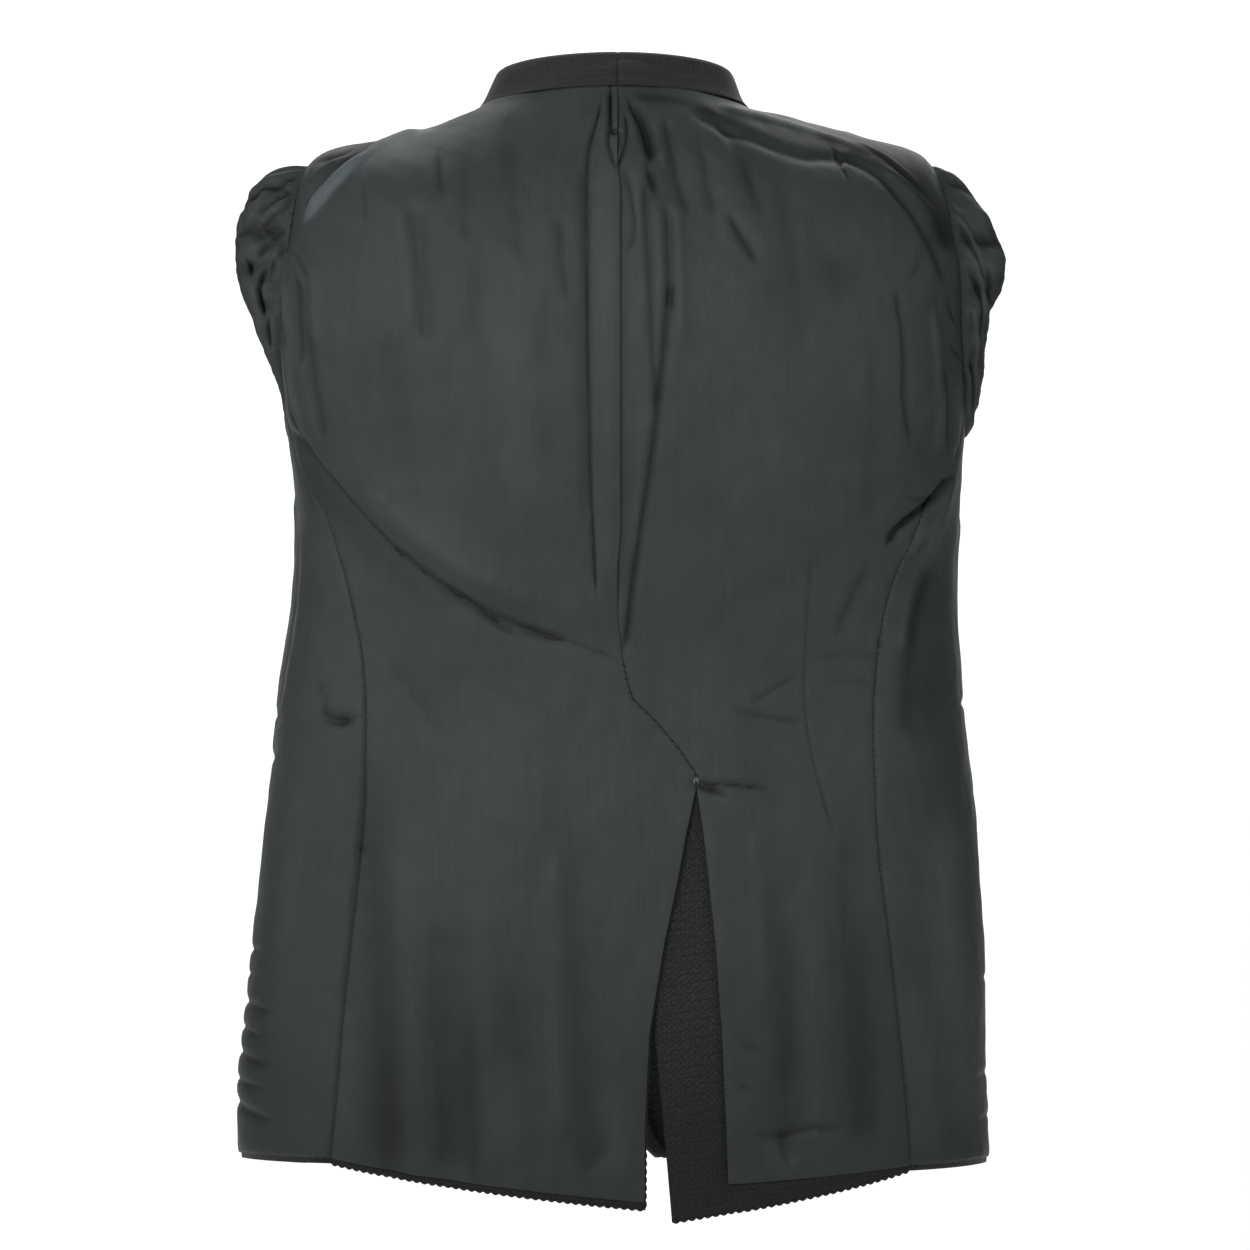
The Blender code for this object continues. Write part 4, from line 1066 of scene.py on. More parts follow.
def mesh_piece(name, points, faces, material, uv=None, tone_and_painted_light=None):
    mesh = bpy.data.meshes.new(name)
    mesh.vertices.add(len(points))
    mesh.vertices.foreach_set("co", np.asarray(points, np.float32).ravel())
    mesh.loops.add(faces.size)
    mesh.loops.foreach_set("vertex_index", faces.astype(np.int32).ravel())
    mesh.polygons.add(len(faces))
    mesh.polygons.foreach_set("loop_start", np.arange(0, faces.size, 4, dtype=np.int32))
    mesh.update(calc_edges=True)
    if uv is not None:
        layer = mesh.uv_layers.new(name="cut")
        layer.data.foreach_set("uv", np.asarray(uv, np.float32)[faces.ravel()].ravel())
    if tone_and_painted_light is not None:
        # painted light and shade, with random tone, stored on each point for the shaders
        mesh.attributes.new("tone_and_painted_light", "FLOAT", "POINT").data.foreach_set("value", tone_and_painted_light.astype(np.float32))
    mesh.validate()
    mesh.shade_smooth()
    mesh.materials.append(material)
    piece = bpy.data.objects.new(name, mesh)
    bpy.context.scene.collection.objects.link(piece)
    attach(piece, "root")
    return piece


def cloth(name, inner, wall, flip, material, uv, closed=False, tone_and_painted_light=1.0):
    """A cloth wall with softened borders, grown from the grid of its inner face."""
    rows, columns = inner.shape[:2]
    normal = normals(inner, flip, closed)
    low = np.zeros((rows, columns, 1))
    borders = [(0, slice(None)), (-1, slice(None))]
    if not closed:
        borders += [(slice(None), 0), (slice(None), -1)]
    for border in borders:
        low[border] = BORDER_THINNING * wall
    outer = inner + normal * (wall - low)
    inner = inner + normal * low
    points = np.concatenate([outer.reshape(-1, 3), inner.reshape(-1, 3)])
    index = np.arange(rows * columns).reshape(rows, columns)
    under = index + rows * columns
    strips = [(quads, flip) for quads in grid_faces(index, closed)]
    strips += [(quads, not flip) for quads in grid_faces(under, closed)]
    strips += [(strip_faces(under[row], index[row], closed), flip ^ (row < 0)) for row in (0, -1)]
    if not closed:
        for end in (0, -1):
            strips.append((strip_faces(under[:, end], index[:, end], False), flip ^ (end == 0)))
    faces = [quads[:, ::-1] if turned else quads for quads, turned in strips]
    flat = np.concatenate([uv.reshape(-1, 2)] * 2)
    tone_and_painted_light = np.clip(np.broadcast_to(tone_and_painted_light, (rows, columns)), *TONE_RANGE).ravel()
    return mesh_piece(name, points, np.concatenate(faces), material, flat, np.concatenate([tone_and_painted_light] * 2))


def cut_uv(points):
    """Flat positions on the cloth in metres, across and up."""
    return np.stack([arc(points, 1), arc(points, 0)], axis=-1)


def back_uv(points, grid, side, lining):
    """Flat positions on the back, from the centre plane, so that threads run straight."""
    across = arc(points, 1)
    across = across - across[:, -1:] - centre_edge(grid[:, -1:, 1], side, lining)
    return np.stack([across, arc(points, 0)], axis=-1)


def side_cloth(name, side, points, wall, material, uv=None, flip=None, closed=False, tone_and_painted_light=1.0):
    """A cloth wall named for its side, cut as it lies unless uv says otherwise."""
    flip = side < 0 if flip is None else flip
    uv = cut_uv(points) if uv is None else uv
    return cloth(f"{name}_cloth_{side_letter(side)}", points, wall, flip, material, uv, closed, tone_and_painted_light)


# Shading


def add_node(tree, kind, settings=None, **inputs):
    made = tree.nodes.new("ShaderNode" + kind)
    for name, value in (settings or {}).items():
        setattr(made, name, value)
    for name, value in inputs.items():
        socket = made.inputs[int(name[1:])] if name[1:].isdigit() else made.inputs[name.replace("_", " ")]
        if isinstance(value, bpy.types.NodeSocket):
            tree.links.new(value, socket)
        else:
            socket.default_value = value
    return made


def calc(tree, operation, first, *others):
    """One math node, or a chain of them with one for each further value."""
    if not others:
        return add_node(tree, "Math", {"operation": operation}, i0=first).outputs[0]
    for other in others:
        first = add_node(tree, "Math", {"operation": operation}, i0=first, i1=other).outputs[0]
    return first


def scaled(tree, vector, by):
    return add_node(tree, "VectorMath", {"operation": "SCALE"}, i0=vector, Scale=by).outputs[0]


def noise(tree, at, scale, detail=2.0, rough=0.5):
    return add_node(tree, "TexNoise", Vector=at, Scale=scale, Detail=detail, Roughness=rough).outputs[0]


def spread(tree, value, low, high, first, last, settings=None):
    """first where the value is low or less, last where it is high or more."""
    limits = {"i1": low, "i2": high, "i3": first, "i4": last}
    return add_node(tree, "MapRange", settings, i0=value, **limits).outputs[0]


def bump(tree, height, strength, distance, **under):
    made = add_node(tree, "Bump", Strength=strength, Distance=distance, Height=height, **under)
    return made.outputs[0]


def fabric(name, colour, roughness, sheen, specular):
    made = bpy.data.materials.new(name)
    made.use_nodes = True
    shader = made.node_tree.nodes["Principled BSDF"]
    shader.inputs["Base Color"].default_value = (*colour, 1)
    shader.inputs["Roughness"].default_value = roughness
    shader.inputs["Sheen Weight"].default_value = sheen
    shader.inputs["Sheen Roughness"].default_value = 0.5
    shader.inputs["Specular IOR Level"].default_value = specular
    return made, made.node_tree, shader


def cloth_coordinates(tree):
    """Flat positions on the cloth in millimetres, across and up."""
    flat = add_node(tree, "UVMap", {"uv_map": "cut"}).outputs[0]
    in_mm = scaled(tree, flat, 1 / MM)
    parts = add_node(tree, "SeparateXYZ", Vector=in_mm)
    return in_mm, parts.outputs[0], parts.outputs[1]


def squeezed(tree, across, up, share):
    """Flat positions with what is up made smaller, so that a noise runs up the cloth."""
    return add_node(tree, "CombineXYZ", X=across, Y=calc(tree, "MULTIPLY", up, share)).outputs[0]


def tone_and_painted_light_of(tree):
    return add_node(tree, "Attribute", {"attribute_name": "tone_and_painted_light"}).outputs[2]


def satin(name, colour, roughness=0.56):
    """Satin: fine threads across and up, a slow change of tone and a soft shine."""
    made, tree, shader = fabric(name, colour, roughness, 0.0, 0.28)
    flat, across, up = cloth_coordinates(tree)
    noises, tones = {}, []
    for kind, (share, scale, detail, rough, low, high, change) in SATIN_NOISES.items():
        at = flat if share == 1 else squeezed(tree, across, up, share)
        noises[kind] = noise(tree, at, scale, detail, rough)
        tones.append(spread(tree, noises[kind], low, high, 1 - change, 1 + change))
    # the satin's random tone times the painted light and shade stored on the piece
    tone_and_painted_light = calc(tree, "MULTIPLY", *tones, tone_and_painted_light_of(tree))
    tree.links.new(scaled(tree, colour, tone_and_painted_light), shader.inputs["Base Color"])
    low, high = SATIN_NOISES["slow"][4:6]
    shine = spread(tree, noises["slow"], low, high, roughness - SHINE_CHANGE, roughness + SHINE_CHANGE)
    tree.links.new(shine, shader.inputs["Roughness"])
    weft = calc(tree, "SINE", calc(tree, "MULTIPLY", up, WEFT_WAVE))
    warp = calc(tree, "SINE", calc(tree, "MULTIPLY", across, WARP_WAVE))
    fine = bump(tree, calc(tree, "ADD", weft, warp), 0.10, 0.00008)
    tree.links.new(bump(tree, noises["crumple"], 0.50, 0.0014, Normal=fine), shader.inputs["Normal"])
    return made


def curl(tree, across, up, centre, radius, opening):
    """1 on an open ring round centre, in shares of the repeat, and 0 away from it."""
    dx = calc(tree, "SUBTRACT", across, centre[0])
    dy = calc(tree, "SUBTRACT", up, centre[1])
    squares = calc(tree, "ADD", calc(tree, "MULTIPLY", dx, dx), calc(tree, "MULTIPLY", dy, dy))
    angle = calc(tree, "ARCTAN2", dy, dx)
    grown = calc(tree, "ADD", radius, calc(tree, "MULTIPLY", angle, radius * CURL_GROWTH))
    off = calc(tree, "ABSOLUTE", calc(tree, "SUBTRACT", calc(tree, "SQRT", squares), grown))
    ring = spread(tree, off, *CURL_EDGE, 1.0, 0.0, {"interpolation_type": "SMOOTHSTEP"})
    turned = calc(tree, "COSINE", calc(tree, "SUBTRACT", angle, opening))
    return calc(tree, "MULTIPLY", ring, spread(tree, turned, *CURL_OPENING, 1.0, 0.0))


def jacquard(name, ground, figure, repeat):
    """A small curling repeat, offset from row to row, a little lighter than its ground."""
    made, tree, shader = fabric(name, ground, 0.62, 0.05, 0.25)
    flat, across, up = cloth_coordinates(tree)
    sway = noise(tree, flat, 0.16)
    across = calc(tree, "ADD", across, calc(tree, "MULTIPLY", sway, SWAY_ACROSS))
    up = calc(tree, "SUBTRACT", up, calc(tree, "MULTIPLY", sway, SWAY_UP))
    row = calc(tree, "DIVIDE", up, repeat)
    shift = calc(tree, "MULTIPLY", calc(tree, "FLOORED_MODULO", calc(tree, "FLOOR", row), 2.0), 0.5)
    cell_x = calc(tree, "FRACT", calc(tree, "ADD", calc(tree, "DIVIDE", across, repeat), shift))
    cell_y = calc(tree, "FRACT", row)
    figures = calc(tree, "MAXIMUM", *[curl(tree, cell_x, cell_y, *shape) for shape in CURLS])
    figures = calc(tree, "MULTIPLY", figures, calc(tree, "MULTIPLY", noise(tree, flat, 0.30), FIGURE_FADE))
    mixed = add_node(tree, "Mix", {"data_type": "RGBA"}, i0=figures, i6=(*ground, 1), i7=(*figure, 1))
    # the jacquard's colour times the painted light and shade stored on the piece
    tree.links.new(scaled(tree, mixed.outputs[2], tone_and_painted_light_of(tree)), shader.inputs["Base Color"])
    weave = calc(tree, "SINE", calc(tree, "MULTIPLY", calc(tree, "ADD", across, up), WEAVE_WAVE))
    fine = bump(tree, weave, 0.3, 0.0001)
    tree.links.new(bump(tree, figures, 0.6, 0.0003, Normal=fine), shader.inputs["Normal"])
    return made


def plain(name, colour, roughness):
    return fabric(name, colour, roughness, 0.1, 0.4)[0]


# Panels


def back_grid(side, lining, rows, shares):
    hem = (LINING_HEM_CENTRE if lining else HEM_CENTRE)[side]
    seam_hem = (LINING_HEM_BACK_SEAM if lining else HEM_BACK_SEAM)[side]
    top = NECK_LEVEL - NECK_GAP
    foot = armhole(BACK_SEAM_ANGLE)[1]
    levels = row_levels(rows, HEM_CENTRE[-1], hem, foot, top, BACK_TOP_ROW)
    centre = pairs(turn_at(centre_edge(levels, side, lining), levels, side), levels)
    outer = outer_edge(
        rows, lambda level: seam_turn(level, side),
        BACK_SEAM_ANGLE, TOP_ANGLE, HEM_BACK_SEAM[side], seam_hem, top, BACK_TOP_ROW,
    )
    return patch(outer, centre, shares, side, (SEAM_GAP, SEAM_GAP if lining else -SEAM_LAP))


def side_grid(side, lining, rows, shares):
    """The side panel, its top row bowed down round the foot of the armhole."""
    front_hem = LINING_HEM_FRONT_SEAM if lining else HEM_FRONT_SEAM
    back_hem = (LINING_HEM_BACK_SEAM if lining else HEM_BACK_SEAM)[side]
    front_top, back_top = armhole(FRONT_SEAM_ANGLE)[1], armhole(BACK_SEAM_ANGLE)[1]
    front = row_levels(rows, HEM_FRONT_SEAM, front_hem, front_top, 0, BACK_TOP_ROW)
    back = row_levels(rows, HEM_BACK_SEAM[side], back_hem, back_top, 0, BACK_TOP_ROW)
    first = pairs(front_seam_turn(front), front)
    grid = patch(first, pairs(seam_turn(back, side), back), shares, side)
    foot_span = 360 + BACK_SEAM_ANGLE - FRONT_SEAM_ANGLE
    foot = armhole(FRONT_SEAM_ANGLE + foot_span * np.asarray(shares))
    bow = (rows / FOOT_ROW)[:, None] ** 4
    grid += bow[:, :, None] * (foot - grid[-1])[None]
    return grid


def front_edges(side, first_hem, rows):
    """The front's three lines: front edge, facing line and outer edge, row by row."""
    foot = armhole(FRONT_SEAM_ANGLE)[1]
    levels = row_levels(rows, HEM_FRONT_SEAM, first_hem, foot, EDGE_TOP, FRONT_TOP_ROW)
    outer = outer_edge(
        rows, front_seam_turn,
        FRONT_SEAM_ANGLE, 180 - TOP_ANGLE, HEM_FRONT_SEAM, first_hem, EDGE_TOP, FRONT_TOP_ROW,
    )
    return pairs(edge_turn(levels, side), levels), pairs(facing_turn(levels, side), levels), outer


def body_folds(points, side, fold=folded):
    """Height of the folds of the back, the side and the front at points of the torso."""
    x, y, z = points[..., 0], points[..., 1], points[..., 2]
    back = ramp(y, *BACK_FADE)
    front = 1 - ramp(y, *FRONT_FADE)
    at_side = ramp(np.abs(x), *SIDE_FADE_ACROSS) * (1 - ramp(np.abs(y), *SIDE_FADE_ALONG))
    total = fold(BACK_FOLDS, x, z) * back + fold(FRONT_FOLDS, x, z) * front
    return total + fold(SIDE_FOLDS[side], y, z) * at_side


def lining_painted_light_and_tone(points, side):
    """How light the lining is painted: painted shade and highlight from its folds, painted areas of light
    and shade, random clouds and painted shade at the hem.
    """
    # painted shade in the creases and painted highlight on the ridges of the folds
    tone_and_painted_light = 1 + body_folds(points, side, lambda table, across, up: folded(table, across, up, True))
    # painted areas of light and shade, faded out towards the front
    shade = folded(PAINTED_LIGHT_AND_SHADE, points[..., 0], points[..., 2]) / MM
    seen = points[..., 1] + SHOULDER_REACH * ramp(points[..., 2], *SHOULDER_RUN)
    tone_and_painted_light += shade * ramp(seen, *PAINTED_LIGHT_FADE)
    tone_and_painted_light += waves("clouds", points[..., 0], points[..., 2])
    # painted shade, darker towards the hem
    return tone_and_painted_light - HEM_PAINTED_SHADE * ramp(-points[..., 2], *HEM_PAINTED_SHADE_RUN)


def clear_of_armhole(grid):
    """0 on the armhole seam and 1 a little way off it, where folds may start."""
    return ramp(armhole_distance(grid[..., 0], grid[..., 1]), 0, ARMHOLE_FADE)


def lining_heights(points, grid, side):
    """How far the lining's inner face stands off the torso surface."""
    x, y, z = points[..., 0], points[..., 1], points[..., 2]
    uneven = waves("lining", x, z) + waves("lining_fine", x + y, z)
    lift = LAYER_GAP + lining_lift(points, grid[..., 0], grid[..., 1], side)
    return lift + (body_folds(points, side) + uneven) * clear_of_armhole(grid)


def seam_pucker(distance, along, seed, depth):
    """A seam's dip, with short uneven puckers across it."""
    gather = waves("pucker", along, along, seed)
    return near_edge(distance, depth, SEAM_DIP_RUN) - gather * near_edge(distance, 1, PUCKER_RUN)


def lining_panel(name, side, material, grid, seams, hem=True, from_centre=False):
    """A lining panel. Each seam is its name, whether it is the last column, and its dip."""
    points = on_torso(grid, side)
    across, up = arc(points, 1), arc(points, 0)
    height = lining_heights(points, grid, side)
    for seam, is_last, depth, share in seams:
        distance = across[:, -1:] - across if is_last else across
        height += seam_pucker(distance, up, SEAM_SEEDS[seam] + side, depth) * share
    if hem:
        height += near_edge(up, HEM_DIP, HEM_DIP_RUN)
    piece = raised(grid, side, height)
    uv = back_uv(piece, grid, side, True) if from_centre else None
    tone_and_painted_light = lining_painted_light_and_tone(points, side)
    return side_cloth(name, side, piece, LINING_WALL, material, uv, tone_and_painted_light=tone_and_painted_light)


def lining_back(side, material):
    rows, columns = GRID["lining_back"]
    shares = 1 - np.linspace(1, 0, columns) ** BACK_CROWDING
    grid = back_grid(side, True, np.linspace(0, BACK_TOP_ROW, rows), shares)
    below_pleat = 1 - ramp(grid[..., 1], PLEAT_FOOT, PLEAT_FOOT_FULL)
    seams = (("side_back", False, SEAM_DIP, 1), ("centre", True, CENTRE_DIP, below_pleat))
    return lining_panel("lining_back", side, material, grid, seams, from_centre=True)


def lining_side(side, material):
    rows, columns = GRID["lining_side"]
    grid = side_grid(side, True, np.linspace(0, FOOT_ROW, rows), np.linspace(0, 1, columns))
    seams = (("side_back", True, SEAM_DIP, 1), ("side_front", False, SEAM_DIP, 1))
    return lining_panel("lining_side", side, material, grid, seams)


def lining_front(side, material):
    rows, columns = GRID["lining_front"]
    _, line, outer = front_edges(side, LINING_HEM_FRONT_SEAM, np.linspace(0, FRONT_TOP_ROW, rows))
    grid = patch(line, outer, np.linspace(0, 1, columns), side)
    seams = (("side_front", True, SEAM_DIP, 1), ("facing", False, SEAM_DIP, 1))
    return lining_panel("lining_front", side, material, grid, seams, hem=False)


def shell_heights(points, grid, side, back):
    """How far the shell's inner face lies in from the torso surface."""
    level = grid[..., 1]
    height = -SHELL_WALL - NECK_SINK * ramp(level, *NECK_SINK_LEVELS)
    height = height - (vent_sink(points, level, side) if back else 0)
    return height + np.minimum(body_folds(points, side), 0) * clear_of_armhole(grid)


def shell_back(side, material):
    """Shell of the back, its hem edged with small loops."""
    count, columns = GRID["shell_back"]
    hem_rows = np.linspace(0, HEM_LOOP_ROWS, HEM_STEPS)[:-1]
    rows = np.concatenate([hem_rows, np.linspace(HEM_LOOP_ROWS, BACK_TOP_ROW, count)])
    grid = back_grid(side, False, rows, np.linspace(0, 1, columns))
    points = on_torso(grid, side)
    loops = HEM_LOOP_DEPTH * np.abs(np.sin(math.pi * arc(points, 1)[0] / HEM_LOOP_WIDTH))
    grid[..., 1] -= loops * np.clip(1 - rows / HEM_LOOP_ROWS, 0, 1)[:, None]
    piece = raised(grid, side, shell_heights(points, grid, side, True))
    uv = back_uv(piece, grid, side, False)
    # painted shade, darker towards the foot of the shell's strip in the vent
    tone_and_painted_light = 1 - STRIP_PAINTED_SHADE * ramp(-points[..., 2], *STRIP_PAINTED_SHADE_RUN)
    return side_cloth("shell_back", side, piece, SHELL_WALL, material, uv, tone_and_painted_light=tone_and_painted_light)


def shell_side(side, material):
    rows, columns = GRID["shell_side"]
    grid = side_grid(side, False, np.linspace(0, FOOT_ROW, rows), np.linspace(0, 1, columns))
    piece = raised(grid, side, shell_heights(on_torso(grid, side), grid, side, False))
    return side_cloth("shell_side", side, piece, SHELL_WALL, material)


def shell_front(side, material):
    """Shell of the front, from the front edge out to the side seam and shoulder."""
    rows, columns = GRID["shell_front"]
    edge, line, outer = front_edges(side, HEM_FRONT_SEAM, np.linspace(0, FRONT_TOP_ROW, rows))
    top = NECK_LEVEL - NECK_GAP
    share = np.linspace(0, 1, FRONT_RISE_STEPS)[1:, None]
    rise = EDGE_TOP + (top - EDGE_TOP) * share[:, 0]
    line_top = np.array([(FACING_TOP_TURN + SHOULDER_TURN) / 2, top])
    edge = np.concatenate([edge, pairs(edge_turn(rise, side), rise)])
    line = np.concatenate([line, line[-1] + (line_top - line[-1]) * share])
    outer = np.concatenate([outer, pairs(SHOULDER_TURN, rise)])
    inner = patch(edge, line, np.linspace(0, 1, FRONT_STRIP), side, (0, 0))
    beyond = patch(line, outer, np.linspace(0, 1, columns), side, (0, SEAM_GAP))
    grid = np.concatenate([inner[:, :-1], beyond], axis=1)
    piece = raised(grid, side, shell_heights(on_torso(grid, side), grid, side, False))
    return side_cloth("shell_front", side, piece, SHELL_WALL, material)


def facing(side, material):
    """Facing and shawl collar in one: from hem to nape, folded in at the roll line."""
    count, columns = GRID["facing"]
    rows = np.linspace(0, FRONT_TOP_ROW, count)
    edge, line, _ = front_edges(side, (HEM_FRONT_SEAM + LINING_HEM_FRONT_SEAM) / 2, rows)
    steps = FACING_STEPS
    corner = np.linspace([FACING_TOP_TURN, EDGE_TOP], [SHOULDER_TURN, EDGE_TOP], steps["corner"])[1:]
    neck = NECK_LEVEL + NECK_GAP
    shoulder = np.linspace([SHOULDER_TURN, EDGE_TOP], [SHOULDER_TURN, neck], steps["shoulder"])[1:]
    shoulder = np.concatenate([corner, shoulder])
    rise = np.linspace(EDGE_TOP, STAND_LEVEL, len(shoulder) + 1)[1:]
    half_gap = math.degrees(SEAM_GAP / 8 / loop_value("back", NECK_LEVEL))
    nape = np.linspace(SHOULDER_TURN, 90 - half_gap, steps["nape"])[1:]
    outer = np.concatenate([line, shoulder, pairs(nape, neck)])
    roll = np.concatenate([edge, pairs(edge_turn(rise, side), rise), pairs(nape, STAND_LEVEL)])
    at_roll = on_torso(roll, side)
    width = np.linalg.norm(on_torso(outer, side) - at_roll, axis=1)[:, None]
    shares = SEAM_GAP / width + (1 - SEAM_GAP / width) * np.linspace(0, 1, columns)
    leg = outer[:, None] * (1 - shares[..., None]) + roll[:, None] * shares[..., None]
    x, y, z = np.moveaxis(on_torso(leg, side), -1, 0)
    to_centre = np.abs(x)
    on_stand = ramp(y, *STAND_BACK)
    stand = waves("stand_crease", x, z) * np.exp(-to_centre / STAND_CREASE_REACH) * on_stand
    stand += waves("stand", x, z) * on_stand
    stand += near_edge(to_centre, NAPE_DIP, NAPE_DIP_RUN) * on_stand
    inset = ramp(shares, 0, STAND_BORDERS[0]) * ramp(1 - shares, 0, STAND_BORDERS[1])
    outside = raised(leg, side, LAYER_GAP + stand * inset)
    fall = looked_up(FALL, FALL_COLUMNS, "width", np.linspace(0, 1, len(outer)))
    fall = fall[:, None] / width * np.linspace(0, 1, steps["fall"])
    fold_in = roll[:, None] + fall[..., None] * (outer - roll)[:, None]
    inside = raised(fold_in, side, LAYER_GAP - FOLD_DEPTH)
    normal = outward(*roll.T, side)
    beyond = at_roll - on_torso(roll + (outer - roll) * 0.05, side)
    beyond /= np.linalg.norm(beyond, axis=1, keepdims=True)
    bends = []
    for angle in np.linspace(math.pi / 2, -math.pi / 2, steps["bend"])[1:-1]:
        out = beyond * math.cos(angle) * FOLD_DEPTH / 2
        bends.append(at_roll + out + normal * (LAYER_GAP + (math.sin(angle) - 1) * FOLD_DEPTH / 2))
    piece = np.concatenate([outside, np.stack(bends, axis=1), inside], axis=1)
    # painted light on the collar's stand, lighter towards its top
    tone_and_painted_light = 1 + (STAND_PAINTED_LIGHT - 1) * ramp(piece[..., 2], *STAND_PAINTED_LIGHT_RUN)
    return side_cloth("facing", side, piece, SHELL_WALL, material, flip=side > 0, tone_and_painted_light=tone_and_painted_light)


# Sleeves


def armhole_line(side):
    """Angles and points all round the armhole seam, on the panels' own edges."""
    rows = np.linspace(FOOT_ROW, TIP_ROW, HOLE_STEPS)[:-1]
    last = TIP_ROW - 1
    angles, corners = [], []
    for seam_angle, top_angle, backwards in (
        (BACK_SEAM_ANGLE, TOP_ANGLE, False), (FRONT_SEAM_ANGLE, 180 - TOP_ANGLE, True)
    ):
        angle = hole_angle(rows, seam_angle, top_angle)
        to_tip = np.clip(rows - last, 0, 1)[:, None]
        at_last = hole_angle(last, seam_angle, top_angle)
        hole = armhole(angle) * (1 - to_tip) + np.array([SHOULDER_TURN, TIP_LEVEL]) * to_tip
        angle = np.where(rows < last, angle, at_last + (90 - at_last) * to_tip[:, 0])
        angles.append(angle[::-1] if backwards else angle)
        corners.append(hole[::-1] if backwards else hole)
    foot = np.linspace(FRONT_SEAM_ANGLE, 360 + BACK_SEAM_ANGLE, HOLE_FOOT_STEPS)[1:-1]
    angles = np.concatenate([angles[0], [90.0], angles[1], foot])
    corners = np.concatenate([corners[0], [[SHOULDER_TURN, TIP_LEVEL]], corners[1], armhole(foot)])
    return angles, raised(corners, side, LAYER_GAP)


def puff(angle, side):
    angle = (np.asarray(angle) + 90) % 360 - 90
    return looked_up(PUFF, PUFF_COLUMNS, side_word(side), angle)


def gathers(angle, ring, side):
    """Folds that fan out from the seam over the sleeve head, in metres."""
    total = np.zeros(np.broadcast(angle, ring).shape)
    for centre, width, start, end, height in HEAD_GATHERS[side]:
        off = (angle - centre + 180) % 360 - 180
        wide = width * (GATHER_START + (1 - GATHER_START) * ramp(ring, 0, GATHER_WIDENING))
        full = ramp(ring, start, start + GATHER_RISE) * (1 - ramp(ring, end - GATHER_FALL, end))
        total += height * MM * np.exp(-((off / wide) ** 2)) * full
    return total


def ring_rows(rows, names, at):
    """A table's rows, smoothly in between, at places counted in rows."""
    keys = np.arange(len(rows), dtype=float)
    return zip(*(smooth(keys, column(rows, names, name), at) for name in names))


def sleeve_head(side, material):
    """Sleeve head turned out: from the armhole seam over the puff and in to the mouth."""
    angle, seam = armhole_line(side)
    centre = seam.mean(axis=0)
    away = seam - centre
    away[:, 0] = 0
    away /= np.linalg.norm(away, axis=1, keepdims=True)
    seam = seam - away * (LINING_WALL + HEAD_GAP)
    out = np.array([side, 0, 0]) * puff(angle, side)[:, None]
    around = np.radians(angle)
    mouth = np.array([side * MOUTH[0], MOUTH[1], MOUTH[2]]) + np.stack(
        [around * 0, MOUTH_HALF_WIDTH * np.cos(around), MOUTH_HALF_HEIGHT * np.sin(around)], axis=1
    )
    at = np.unique(np.concatenate([np.linspace(*steps) for steps in HEAD_STEPS]))
    rings = []
    for inward, reach, to_mouth in ring_rows(HEAD_RINGS, HEAD_COLUMNS, at):
        ring = seam + (centre - seam) * inward + out * reach
        rings.append(ring * (1 - to_mouth) + mouth * to_mouth)
    points = np.array(rings)
    ring = (at / at[-1])[:, None]
    x, y, z = np.moveaxis(points, -1, 0)
    height = gathers(angle[None], ring, side)
    height += folded(HEAD_FOLDS[side], x, z) * ramp(y, *HEAD_BACK)
    height += waves("head", z, y, side)
    height += waves("head_fine", z, y + x, side)
    height *= ramp(ring, *HEAD_CREASE_START) * (1 - ramp(ring, *HEAD_CREASE_END))
    points += normals(points, side < 0, True) * height[..., None]
    run = np.cumsum(np.linalg.norm(seam - np.roll(seam, 1, axis=0), axis=1))
    uv = np.stack([run + 0 * ring, arc(points, 0)], axis=-1)
    # painted shade over the sleeve head, deeper painted shade in its troughs and painted highlight on its
    # ridges
    tone_and_painted_light = HEAD_PAINTED_SHADE + np.where(height < 0, HEAD_TROUGH_PAINTED_SHADE, HEAD_RIDGE_PAINTED_HIGHLIGHT) * height / MM
    return side_cloth(
        "sleeve_lining", side, points, LINING_WALL, material, uv, closed=True, tone_and_painted_light=tone_and_painted_light
    )


def sleeve(side, material):
    """Sleeve hanging inside the body, with soft folds down it."""
    rows, columns = GRID["sleeve"]
    around = np.radians(np.linspace(-90, 270, columns, endpoint=False))[:, None]
    at = np.linspace(0, len(SLEEVE_RINGS) - 1, rows)
    rings = []
    for out, forward, height, tilt, half_deep, half_wide in ring_rows(SLEEVE_RINGS, SLEEVE_COLUMNS, at):
        centre = np.array([side * out, -forward, height])
        tilt = math.radians(tilt)
        upper = np.array([-side * math.sin(tilt), 0, math.cos(tilt)])
        wide = np.array([0, 1, 0]) * half_wide
        rings.append(centre + wide * np.cos(around) + upper * half_deep * np.sin(around))
    points = np.array(rings)
    flip = side > 0
    run = arc(points, 0)
    turned = np.broadcast_to(around[:, 0], run.shape)
    full = ramp(at, *SLEEVE_CREASE_START) * (1 - CUFF_CALM * ramp(at, *SLEEVE_CREASE_END))
    creases = waves("sleeve", turned, run, side) * full[:, None]
    points += normals(points, flip, True) * creases[..., None]
    uv = np.stack([turned * SLEEVE_RADIUS, run], axis=-1)
    return side_cloth("sleeve", side, points, SHELL_WALL, material, uv, flip, closed=True)


# Stitches, loops and button


